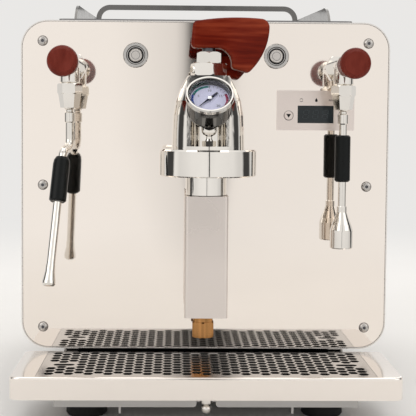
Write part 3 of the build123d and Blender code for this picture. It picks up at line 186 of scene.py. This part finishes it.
def wood(name, stretch, *tones):
    """Oiled red-brown hardwood with fine grain along the axis that is stretched least."""
    mat, shader = plain(name, tones[1], roughness=0.3, Coat_Weight=0.1, Coat_Roughness=0.05)
    shader.inputs["Specular IOR Level"].default_value = 0.04
    bands = grain(mat, stretch, 34.0, detail=7.0, distortion=0.9)
    pores = grain(mat, tuple(4 * s for s in stretch), 60.0, detail=2.0)
    mix = add(mat, "ShaderNodeMath")
    mix.operation = "MULTIPLY_ADD"
    wire(mat, pores, mix.inputs[0])
    mix.inputs[1].default_value = 0.35
    wire(mat, bands, mix.inputs[2])
    colour = ramp(
        mat,
        mix.outputs["Value"],
        (0.46, tones[0]),
        (0.58, tones[1]),
        (0.70, tones[2]),
        (0.86, tones[3]),
    )
    wire(mat, colour, shader.inputs["Base Color"])
    wire(mat, between(mat, bands, 0.30, 0.46), shader.inputs["Roughness"])
    relief(mat, shader, pores, 0.12, 0.0002)
    return mat


def matte(name, colour, low, high, scale, bump, spread=0.25, gloss=0.5):
    """Rubber, plastic or paint with a fine texture."""
    mat, shader = plain(name, colour)
    shader.inputs["Specular IOR Level"].default_value = gloss
    texture = grain(mat, (1, 1, 1), scale, detail=3.0)
    dark = tuple(c * (1 - spread) for c in colour)
    light = tuple(min(1.0, c * (1 + spread)) for c in colour)
    wire(mat, ramp(mat, texture, (0.3, dark), (0.7, light)), shader.inputs["Base Color"])
    wire(mat, between(mat, texture, low, high), shader.inputs["Roughness"])
    relief(mat, shader, texture, bump, 0.0003)
    return mat


# ---------------------------------------------------------------- materials
steel = (0.875, 0.812, 0.752)
looks = {
    "polished_panel": metal("polished_steel", steel, 0.025, 0.06, scale=7.0, tone=0.015),
    "casing_steel": metal("casing_steel", (0.74, 0.71, 0.68), 0.24, 0.36, (1.0, 0.04, 1.0), 500.0, 0.05),
    "base_steel": metal("base_steel", (0.42, 0.41, 0.40), 0.3, 0.45, (0.06, 1.0, 1.0), 420.0, 0.05),
    "satin_steel": metal("satin_steel", (0.66, 0.61, 0.57), 0.26, 0.38, (1.0, 1.0, 0.03), 650.0, 0.06),
    "chrome_group": metal("chrome", (0.80, 0.77, 0.725), 0.02, 0.06, scale=45.0, bump=0.35, tone=0.02),
    "bright_fittings": metal(
        "bright_fittings", (0.76, 0.73, 0.685), 0.03, 0.08, scale=60.0, bump=0.3, tone=0.03
    ),
    "dark_fittings": metal("dark_fittings", (0.10, 0.10, 0.11), 0.25, 0.4, scale=200.0),
    "dark_shelf": metal("dark_shelf", (0.22, 0.215, 0.22), 0.3, 0.42, (0.03, 1.0, 1.0), 600.0, 0.05),
    "foot_rubber": matte("foot_rubber", (0.014, 0.014, 0.014), 0.6, 0.8, 900.0, 0.25, gloss=0.25),
    "seal_rubber": matte("seal_rubber", (0.022, 0.022, 0.022), 0.55, 0.75, 900.0, 0.2),
    "grip_rubber": matte("grip_rubber", (0.004, 0.005, 0.005), 0.26, 0.36, 1100.0, 0.10, gloss=0.16),
    "black_plastic": matte("black_plastic", (0.02, 0.02, 0.022), 0.4, 0.55, 1400.0, 0.2),
    "seat_plastic": matte("seat_plastic", (0.8, 0.8, 0.77), 0.3, 0.4, 600.0, 0.05, 0.04),
    "handle_wood": wood(
        "handle_wood",
        (0.12, 1.0, 1.0),
        (0.018, 0.0010, 0.0004),
        (0.064, 0.0028, 0.0008),
        (0.122, 0.0088, 0.0024),
        (0.230, 0.0340, 0.0130),
    ),
    "needle_navy": matte("needle_navy", (0.004, 0.006, 0.030), 0.35, 0.45, 800.0, 0.05, gloss=0.1),
    "dial_white": matte("dial_white", (0.66, 0.64, 0.83), 0.45, 0.55, 300.0, 0.02, 0.02),
    "boiler_brass": metal("boiler_brass", (0.60, 0.36, 0.15), 0.3, 0.5, scale=90.0, bump=0.1, tone=0.12),
    "pipe_brass": metal("pipe_brass", (0.72, 0.36, 0.18), 0.22, 0.4, scale=120.0, tone=0.12),
    # drain nut: strong vertical light and dark streaks in its colour are painted reflections
    "drain_brass": metal("drain_brass", (0.37, 0.185, 0.068), 0.06, 0.18, (1.0, 1.0, 0.03), 240.0, 0.10, 0.5),
    "motor_paint": matte("motor_paint", (0.03, 0.034, 0.04), 0.35, 0.5, 700.0, 0.2),
}

glass, glass_shader = plain(
    "clear_glass", (0.95, 0.97, 0.98), roughness=0.02, Transmission_Weight=1.0, IOR=1.15
)
smudge = grain(glass, (1, 1, 1), 90.0)
wire(glass, between(glass, smudge, 0.0, 0.05), glass_shader.inputs["Roughness"])
looks["clear_glass"] = glass

tank_look, tank_shader = plain(
    "tank_plastic", (0.80, 0.86, 0.90), roughness=0.2, Transmission_Weight=0.75, IOR=1.2
)
haze = grain(tank_look, (1, 1, 0.2), 40.0)
wire(tank_look, between(tank_look, haze, 0.18, 0.32), tank_shader.inputs["Roughness"])
looks["tank_plastic"] = tank_look

dark_window, window_shader = plain(
    "display_dark", (0.018, 0.024, 0.027), roughness=0.12, Coat_Weight=0.1, Coat_Roughness=0.03
)
window_shader.inputs["Specular IOR Level"].default_value = 0.25
mask = grain(dark_window, (1, 1, 1), 220.0)
wire(dark_window, between(dark_window, mask, 0.10, 0.18), window_shader.inputs["Roughness"])
looks["display_dark"] = dark_window

ink = matte("print_black", (0.008, 0.008, 0.010), 0.4, 0.5, 500.0, 0.02, gloss=0.2)
faint_ink = matte("segment_grey", (0.034, 0.042, 0.046), 0.25, 0.35, 500.0, 0.02, gloss=0.2)
scale_blue = matte("scale_blue", (0.010, 0.050, 0.330), 0.4, 0.5, 500.0, 0.02)
scale_teal = matte("scale_teal", (0.010, 0.210, 0.200), 0.4, 0.5, 500.0, 0.02)
scale_red = matte("scale_red", (0.380, 0.004, 0.075), 0.4, 0.5, 500.0, 0.02)
hub_look = metal("needle_hub", (0.86, 0.86, 0.88), 0.15, 0.25, scale=200.0)


# ---------------------------------------------------------------- materials with zones
def object_point(mat):
    """A point of the surface in the object's own space."""
    return add(mat, "ShaderNodeTexCoord").outputs["Object"]


def beyond(mat, value, edge, blur=0.05 * MM):
    """One where a value is past an edge, else zero."""
    return spread(mat, value, edge - blur, edge + blur)


def short_of(mat, value, edge, blur=0.05 * MM):
    """One where a value hasn't reached an edge, else zero."""
    return spread(mat, value, edge - blur, edge + blur, 1.0, 0.0)


def zoned(name, zone, outside, inside, rough, metallic=1.0):
    """Metal with one colour and roughness outside a zone and another inside it."""
    mat, shader = plain(name, outside, metallic=metallic)
    where = zone(mat)
    wire(mat, ramp(mat, where, (0.0, outside), (1.0, inside)), shader.inputs["Base Color"])
    wire(mat, spread(mat, where, 0.0, 1.0, *rough), shader.inputs["Roughness"])
    relief(mat, shader, grain(mat, (1, 1, 1), 400.0), 0.02, 0.0001)
    return mat


def in_box(low, high):
    """A zone between two corners."""
    def zone(mat):
        walls = []
        for value, least, most in zip(axes_of(mat, object_point(mat)), low, high):
            walls += [beyond(mat, value, least), short_of(mat, value, most)]
        return combine(mat, "MULTIPLY", *walls)
    return zone


tilt = math.radians(42.0)
gauge_normal = Vector((0, -math.cos(tilt), math.sin(tilt)))
dial_low, dial_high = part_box("gauge_dial")
dial_middle = (dial_low + dial_high) / 2
bezel_level = 3.6 * MM  # of the bezel's lower side, above the middle of the dial
bezel_mouth = 19.2 * MM  # inner radius of the bezel


def under_bezel(mat):
    """The gauge's barrel, and the wall between its bezel and dial, which the gauge colours dark as painted
    dark reflection and painted shade.
    """
    offset = vector_math(mat, "SUBTRACT", object_point(mat), dial_middle)
    level = vector_math(mat, "DOT_PRODUCT", offset, gauge_normal)
    radius = vector_math(mat, "LENGTH", vector_math(mat, "CROSS_PRODUCT", offset, gauge_normal))
    barrel = short_of(mat, level, bezel_level, 0.1 * MM)
    wall = short_of(mat, radius, bezel_mouth, 0.1 * MM)
    return combine(mat, "MAXIMUM", barrel, wall)


tray_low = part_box("drip_tray")[0]
grid_low, grid_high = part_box("drip_grid")
# the tray's well below the grid is coloured near black as painted shade inside the tray
painted_shade_well = in_box(
    (grid_low.x + MM, grid_low.y + MM, tray_low.z + MM),
    (grid_high.x - MM, grid_high.y - MM, grid_low.z - 0.2 * MM),
)


def hole_walls(mat):
    """Faces that stand upright, as the walls of the grid's holes do; the grid colours them darker than its
    tops as painted shade.
    """
    upward = axes_of(mat, add(mat, "ShaderNodeTexCoord").outputs["Normal"])[2]
    lean = add(mat, "ShaderNodeMath")
    lean.operation = "ABSOLUTE"
    wire(mat, upward, lean.inputs[0])
    return spread(mat, lean.outputs["Value"], 0.3, 0.5, 1.0, 0.0)


# nodes whose finish differs from the rest of their slot
own_looks = {
    # grid: upright hole walls darker than the tops, as painted shade in the holes
    "drip_grid": zoned("grid_steel", hole_walls, (0.58, 0.55, 0.525), (0.14, 0.135, 0.13), (0.16, 0.4)),
    "column_cover": metal("column_steel", (0.71, 0.65, 0.61), 0.26, 0.34, scale=12.0, tone=0.02),
    "display_plate": metal("plate_steel", (0.76, 0.68, 0.635), 0.28, 0.34, scale=80.0, tone=0.015),
    # cup rail: polished steel coloured dark grey as a painted dark reflection
    "cup_rail": metal("rail_steel", (0.17, 0.165, 0.16), 0.14, 0.22, scale=60.0),
    # gauge case: bright bezel; dark barrel and inner wall as painted dark reflection and painted shade
    "gauge_case": zoned("gauge_steel", under_bezel, (0.56, 0.545, 0.52), (0.11, 0.108, 0.105), (0.06, 0.06)),
    # drip tray: polished steel outside, near black inside the well as painted shade
    "drip_tray": zoned("tray_steel", painted_shade_well, (0.84, 0.785, 0.735), (0.03, 0.03, 0.03), (0.09, 0.5), 0.9),
    "power_button_cap": metal("cap_steel", (0.60, 0.57, 0.54), 0.10, 0.18, scale=60.0),
    "display_key_down": metal("key_steel", (0.74, 0.66, 0.615), 0.28, 0.34, scale=80.0, tone=0.015),
    "power_button_bezel": metal("bezel_steel", (0.50, 0.485, 0.47), 0.10, 0.16, scale=60.0),
}
for name, alike in (
    ("brew_button_bezel", "power_button_bezel"),
    ("brew_button_cap", "power_button_cap"),
    ("display_key_up", "display_key_down"),
):
    own_looks[name] = own_looks[alike]
for name in ("steam_knob", "water_knob"):
    own_looks[name] = wood(
        f"{name}_wood",
        (1.0, 0.3, 0.3),
        (0.080, 0.0100, 0.0060),
        (0.118, 0.0158, 0.0096),
        (0.150, 0.0235, 0.0150),
        (0.190, 0.0350, 0.0240),
    )
for name, node in nodes.items():
    for place in node.material_slots:
        place.material = own_looks.get(name, looks[slot_of[name]])


# ---------------------------------------------------------------- shape helpers
def piece(name, vertices, faces, look, body, slot, crease=35.0):
    """A mesh that rides on a CAD body, smooth but for its sharp edges."""
    mesh = bpy.data.meshes.new(name)
    mesh.from_pydata([tuple(v) for v in vertices], [], faces)
    mesh.validate()
    mesh.polygons.foreach_set("use_smooth", [True] * len(mesh.polygons))
    mesh.set_sharp_from_angle(angle=math.radians(crease))
    mesh.materials.append(look)
    made = bpy.data.objects.new(name, mesh)
    bpy.context.scene.collection.objects.link(made)
    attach(made, body)
    return made


def place_at(origin, across, normal):
    """Place whose x axis runs across and whose z axis is the normal."""
    z = Vector(normal).normalized()
    x = (Vector(across) - z * Vector(across).dot(z)).normalized()
    y = z.cross(x)
    return Matrix.Translation(origin) @ Matrix((x, y, z)).transposed().to_4x4()


def facing_front(x, y, z):
    """Place that faces the front of the machine."""
    return place_at((x, y, z), (1, 0, 0), (0, -1, 0))


def ring_points(place, radius, height, sides, count):
    """Points round a circle, or round a polygon with that many sides and inner radius."""
    points = []
    for step in range(count):
        angle = 2 * math.pi * step / count
        reach = radius
        if sides:
            wedge = 2 * math.pi / sides
            reach = radius / math.cos((angle + wedge / 2) % wedge - wedge / 2)
        points.append(place @ Vector((reach * math.cos(angle), reach * math.sin(angle), height)))
    return points


def stack(place, rings, count=48):
    """Vertices and faces of a solid of rings (radius, height, sides), closed at both ends."""
    vertices, faces = [], []
    for radius, height, sides in rings:
        vertices += ring_points(place, radius, height, sides, count)
    for level in range(len(rings) - 1):
        for step in range(count):
            a = level * count + step
            b = level * count + (step + 1) % count
            faces.append((a, b, b + count, a + count))
    faces.append(tuple(reversed(range(count))))
    faces.append(tuple(range((len(rings) - 1) * count, len(rings) * count)))
    return vertices, faces


def in_mm(*rings):
    """Rings in millimetres, as stack takes them."""
    return [(radius * MM, height * MM, sides) for radius, height, sides in rings]


def joined(parts):
    """Several (vertices, faces) as one."""
    vertices, faces = [], []
    for some_vertices, some_faces in parts:
        start = len(vertices)
        vertices += some_vertices
        faces += [tuple(start + index for index in face) for face in some_faces]
    return vertices, faces


def plate(place, outline, low, high):
    """A flat outline in millimetres as a thin closed solid from low to high above a place."""
    count = len(outline)
    vertices = [place @ Vector((x * MM, y * MM, low)) for x, y in outline]
    vertices += [place @ Vector((x * MM, y * MM, high)) for x, y in outline]
    faces = [tuple(reversed(range(count))), tuple(range(count, 2 * count))]
    for step in range(count):
        after = (step + 1) % count
        faces.append((step, after, after + count, step + count))
    return vertices, faces


def band(place, inner, outer, start, end, low, high, steps=40):
    """Part of a flat ring, between two angles in degrees, as a thin closed solid."""
    quads = []
    for step in range(steps + 1):
        angle = math.radians(start + (end - start) * step / steps)
        ray = Vector((math.cos(angle), math.sin(angle), 0))
        for radius, height in ((inner, low), (outer, low), (outer, high), (inner, high)):
            quads.append(place @ (ray * radius + Vector((0, 0, height))))
    faces = []
    for step in range(steps):
        for corner in range(4):
            a = 4 * step + corner
            b = 4 * step + (corner + 1) % 4
            faces.append((a, a + 4, b + 4, b))
    if abs(end - start) < 360:
        faces += [(0, 1, 2, 3), (4 * steps + 3, 4 * steps + 2, 4 * steps + 1, 4 * steps)]
    return quads, faces


def lettering(name, text, place, size, look, body):
    """A number as a text object, centred on a place."""
    curve = bpy.data.curves.new(name, "FONT")
    curve.body = text
    curve.size = size
    curve.align_x = "CENTER"
    curve.align_y = "CENTER"
    curve.extrude = 0.02 * MM
    curve.materials.append(look)
    made = bpy.data.objects.new(name, curve)
    made.matrix_world = place
    bpy.context.scene.collection.objects.link(made)
    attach(made, body)


def middle(node):
    """Middle of a node's box."""
    low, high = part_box(node)
    return (low + high) / 2


# ---------------------------------------------------------------- group gauge
dial_place = place_at(middle("gauge_dial") + gauge_normal * 0.4 * MM, (1, 0, 0), gauge_normal)
print_low, print_high = 0.0, 0.06 * MM
zero_angle, bar_angle = 225.0, 13.5


def at_pressure(bar):
    """Dial angle of a pressure."""
    return zero_angle - bar_angle * bar


for name, look, start, end in (
    ("dial_arc_blue", scale_blue, 1.6, 4.9),
    ("dial_arc_teal", scale_teal, 4.9, 9.8),
    ("dial_arc_red", scale_red, 14.8, 18.6),
):
    arc = band(
        dial_place, 14.4 * MM, 16.6 * MM, at_pressure(start), at_pressure(end), print_low, print_high
    )
    piece(name, *arc, look, "machine", "dial_white")
ticks = []
for bar in range(0, 21):
    long_tick = bar % 5 == 0
    inner = 13.2 if long_tick else 14.6
    half = 0.8 if long_tick else 0.4
    ticks.append(
        band(
            dial_place, inner * MM, 16.8 * MM, at_pressure(bar) - half, at_pressure(bar) + half,
            print_high, 2 * print_high, steps=1,
        )
    )
piece("dial_ticks", *joined(ticks), ink, "machine", "dial_white")
for bar in (0, 5, 10, 15, 20):
    angle = math.radians(at_pressure(bar))
    spot = Matrix.Translation((10.6 * MM * math.cos(angle), 10.6 * MM * math.sin(angle), print_high))
    lettering(f"dial_number_{bar}", str(bar), dial_place @ spot, 3.6 * MM, ink, "machine")

hub_place = place_at(middle("gauge_dial") + gauge_normal * 2.0 * MM, (1, 0, 0), gauge_normal)
hub = stack(hub_place, in_mm((1.95, 0.9, None), (1.95, 1.2, None), (1.4, 1.55, None)))
piece("needle_hub_cap", *hub, hub_look, "needle", "needle_navy")

# ---------------------------------------------------------------- panel screws
panel_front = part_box("front_panel")[0].y
panel_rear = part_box("rear_panel")[1].y
screw_low, screw_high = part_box("panel_screws")
inset = 4.7 * MM
screw_x = screw_high.x - inset
screw_levels = (screw_low.z + inset, (screw_low.z + screw_high.z) / 2, screw_high.z - inset)
screw_steel = metal("screw_steel", (0.46, 0.44, 0.42), 0.08, 0.16, scale=60.0)
dome = in_mm((4.7, 0.0, None), (4.7, 0.5, None), (4.45, 1.2, None), (3.9, 1.8, None), (3.0, 2.3, None))
socket = in_mm((2.35, 2.4, None), (1.5, 2.4, 6), (1.45, 2.2, 6), (1.45, 0.7, 6))
# dark hex disc at the bottom of each screw socket: painted shade in the socket
socket_shade = in_mm((1.42, 0.72, 6), (1.42, 0.76, 6))
screws, painted_screw_shade = [], []
for side in (-1, 1):
    for level in screw_levels:
        for front in (True, False):
            seat = place_at(
                (side * screw_x, panel_front if front else panel_rear, level),
                (1, 0, 0),
                (0, -1, 0) if front else (0, 1, 0),
            )
            screws.append(stack(seat, dome + socket))
            painted_screw_shade.append(stack(seat, socket_shade))
            # thin dark ring round each screw head on the panel: painted shadow gap
            painted_screw_shade.append(band(seat, 4.72 * MM, 5.15 * MM, 0, 360, 0.02 * MM, 0.06 * MM))
screw_heads = piece("screw_heads", *joined(screws), screw_steel, "machine", "bright_fittings")
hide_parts("panel_screws")
# the dark socket discs and rings are painted shade and painted shadow
piece("screw_painted_shade", *joined(painted_screw_shade), looks["dark_fittings"], "machine", "bright_fittings")

# ---------------------------------------------------------------- push buttons
for name in ("power", "brew"):
    spot = middle(f"{name}_button_bezel")
    cap_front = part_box(f"{name}_button_cap")[0].y
    seat = facing_front(spot.x, panel_front, spot.z)
    # dark ring in the groove round each button cap: painted shade
    groove_shade_ring = band(seat, 6.6 * MM, 8.0 * MM, 0, 360, 0.6 * MM, 0.75 * MM, steps=72)
    piece(f"{name}_button_groove", *groove_shade_ring, ink, "machine", "bright_fittings")
    cap_place = facing_front(spot.x, cap_front, spot.z)
    mark = band(cap_place, 3.9 * MM, 4.3 * MM, 0, 360, 0.0, 0.05 * MM, steps=60)
    piece(f"{name}_button_mark", *mark, looks["dark_fittings"], f"{name}_button", "bright_fittings")

# ---------------------------------------------------------------- display
plate_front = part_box("display_plate")[0].y
plate_middle = middle("display_plate")
window_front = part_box("display_window")[0].y
window_drop = -3.9  # mm from the plate's middle to the window's
glyph_high = 0.06 * MM


def on_plate(x, z, front=plate_front):
    """Place on the display plate, in millimetres from its middle."""
    return facing_front(plate_middle.x + x * MM, front, plate_middle.z + z * MM)


# seven-segment figures, unlit, in millimetres
segment, thick, gap, slant = 4.3, 0.9, 0.9, 0.14
lying, standing = 0.95, 0.88  # share of a segment's length that its bar takes
bar_outline = [(-0.36, 0.5), (0.36, 0.5), (0.5, 0), (0.36, -0.5), (-0.36, -0.5), (-0.5, 0)]
digits = []
for column in (-9.6, 0.0, 9.6):
    for x, z, upright in (
        (0, segment, False), (0, 0, False), (0, -segment, False),
        (-0.5, 0.5, True), (0.5, 0.5, True), (-0.5, -0.5, True), (0.5, -0.5, True),
    ):
        centre_x = column + x * (segment + gap) + slant * z * (segment if upright else 1)
        centre_z = z * segment if upright else z
        if upright:
            outline = [(thick * b, segment * a * standing) for a, b in bar_outline]
        else:
            outline = [(segment * a * lying, thick * b) for a, b in reversed(bar_outline)]
        leaning = [(u + slant * v, v) for u, v in outline][::-1]
        place = on_plate(centre_x, window_drop + centre_z, window_front)
        digits.append(plate(place, leaning, 0.0, 0.04 * MM))
piece("display_segments", *joined(digits), faint_ink, "machine", "display_dark")

# ring arrow, drop and wave over the window
icons = [
    band(on_plate(-14.4, 10.2), 1.3 * MM, 1.75 * MM, start, start + 140, 0.0, glyph_high, 16)
    for start in (20, 200)
]
drop = [(1.35 * math.cos(a), 1.35 * math.sin(a)) for a in [math.radians(150 + 12 * k) for k in range(21)]]
drop.append((0.0, 2.7))
icons.append(plate(on_plate(0.6, 9.9), drop, 0.0, glyph_high))
wave = [(-1.9, -0.7), (-0.7, 1.0), (0.1, -0.7), (1.1, 0.9), (1.9, -0.6)]
over = [(u, v + 0.5) for u, v in wave]
under = [(u, v - 0.5) for u, v in wave]
for step in range(len(wave) - 1):
    quad = [under[step], under[step + 1], over[step + 1], over[step]]
    icons.append(plate(on_plate(15.0, 10.2), quad, 0.0, glyph_high))
piece("display_icons", *joined(icons), ink, "machine", "satin_steel")
for name, point in (("down", -1), ("up", 1)):
    spot = middle(f"display_key_{name}")
    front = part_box(f"display_key_{name}")[0].y
    seat = facing_front(spot.x, front, spot.z)
    tip = [(-2.5, -1.6 * point), (2.5, -1.6 * point), (0.0, 2.2 * point)]
    if point < 0:
        tip.reverse()
    mark = plate(seat, tip, 0.0, glyph_high)
    piece(f"key_mark_{name}", *mark, ink, f"key_{name}", "bright_fittings")
    # dark ring round each key on the plate: painted contact shadow
    rim = band(
        facing_front(spot.x, plate_front, spot.z), 4.5 * MM, 4.9 * MM, 0, 360, 0.0, glyph_high, 48
    )
    piece(f"key_rim_{name}", *rim, looks["dark_fittings"], "machine", "satin_steel")

# ---------------------------------------------------------------- studio
def studio_tone(owner, direction):
    """Colour of the studio in a direction.

    Two lights stand ahead with a gap between them, one hangs above, the backdrop behind is pale and
    the sides are darker.
    """
    across, depth, height = axes_of(owner, direction)
    stops = (
        (-1.0, 1.0), (-0.94, 0.84), (-0.64, 0.96), (-0.2, 1.0), (-0.06, 0.98), (0.005, 0.82),
        (0.016, 0.05), (0.046, 0.05), (0.056, 0.93), (0.3, 0.98), (0.85, 0.92), (0.96, 0.78),
    )
    places = [((x + 1) / 2, (tone, tone, tone)) for x, tone in stops]
    front = ramp(owner, spread(owner, across, -1.0, 1.0), *places)
    ahead = combine(owner, "MULTIPLY", spread(owner, depth, 0.02, -0.12, smooth=True), front)
    above = spread(owner, height, 0.35, 0.85, smooth=True)
    behind = spread(owner, depth, 0.28, 0.46, 0.0, 0.82, smooth=True)
    sides = add(owner, "ShaderNodeValue")
    sides.outputs["Value"].default_value = 0.06
    tone = combine(owner, "MAXIMUM", ahead, behind, above, sides.outputs["Value"])
    return ramp(owner, tone, (0.0, (0.0, 0.0, 0.0)), (1.0, (1.0, 0.985, 0.965)))


# plain pale floor that takes the object's shadow and meets the studio without an edge
floor_mesh = bpy.data.meshes.new("floor")
floor_radius, floor_sides = 9.0, 96
floor_rim = ring_points(Matrix.Identity(4), floor_radius, 0.0, None, floor_sides)
floor_mesh.from_pydata([tuple(point) for point in floor_rim], [], [tuple(range(floor_sides))])
floor_look, floor_shader = plain("floor_pale", (0.80, 0.79, 0.775), roughness=0.75)
floor_shader.inputs["Specular IOR Level"].default_value = 0.15
floor_tone = grain(floor_look, (1, 1, 1), 3.0)
wire(
    floor_look,
    ramp(floor_look, floor_tone, (0.3, (0.79, 0.78, 0.765)), (0.7, (0.81, 0.80, 0.785))),
    floor_shader.inputs["Base Color"],
)
floor_point = add(floor_look, "ShaderNodeNewGeometry").outputs["Position"]
floor_glow = add(floor_look, "ShaderNodeEmission")
floor_way = vector_math(floor_look, "NORMALIZE", floor_point)
wire(floor_look, studio_tone(floor_look, floor_way), floor_glow.inputs["Color"])
floor_paths = add(floor_look, "ShaderNodeLightPath")
seen = combine(
    floor_look,
    "MAXIMUM",
    *(floor_paths.outputs[f"Is {ray} Ray"] for ray in ("Camera", "Glossy", "Transmission")),
)
far = spread(floor_look, vector_math(floor_look, "LENGTH", floor_point), 0.5, 1.9, smooth=True)
floor_mix = add(floor_look, "ShaderNodeMixShader")
wire(floor_look, combine(floor_look, "MULTIPLY", seen, far), floor_mix.inputs["Fac"])
wire(floor_look, floor_shader.outputs["BSDF"], floor_mix.inputs[1])
wire(floor_look, floor_glow.outputs["Emission"], floor_mix.inputs[2])
floor_end = floor_look.node_tree.nodes["Material Output"]
wire(floor_look, floor_mix.outputs["Shader"], floor_end.inputs["Surface"])
floor_mesh.materials.append(floor_look)
floor = bpy.data.objects.new("floor", floor_mesh)
bpy.context.scene.collection.objects.link(floor)


def lamp(name, place, size, power):
    """A large square soft light that faces the middle of the machine."""
    data = bpy.data.lights.new(name, "AREA")
    data.shape = "SQUARE"
    data.size = size
    data.energy = power
    data.color = (1.0, 0.98, 0.95)
    made = bpy.data.objects.new(name, data)
    made.location = place
    made.rotation_mode = "QUATERNION"
    made.rotation_quaternion = (Vector((0, 0, 0.2)) - Vector(place)).to_track_quat("-Z", "Y")
    bpy.context.scene.collection.objects.link(made)


lamp("key_light", (-2.4, -2.2, 2.2), 2.6, 22.0)
lamp("fill_light", (2.6, -2.0, 1.8), 2.4, 12.0)
lamp("top_light", (0.0, 0.3, 2.6), 2.2, 14.0)
lamp("rear_light", (0.9, 2.6, 1.9), 2.2, 12.0)

world = bpy.data.worlds.new("studio")
bpy.context.scene.world = world
world.use_nodes = True
sky_way = add(world, "ShaderNodeTexCoord")
background = world.node_tree.nodes["Background"]
wire(world, studio_tone(world, sky_way.outputs["Generated"]), background.inputs["Color"])
background.inputs["Strength"].default_value = 1.0

bpy.context.scene.view_settings.view_transform = "Standard"
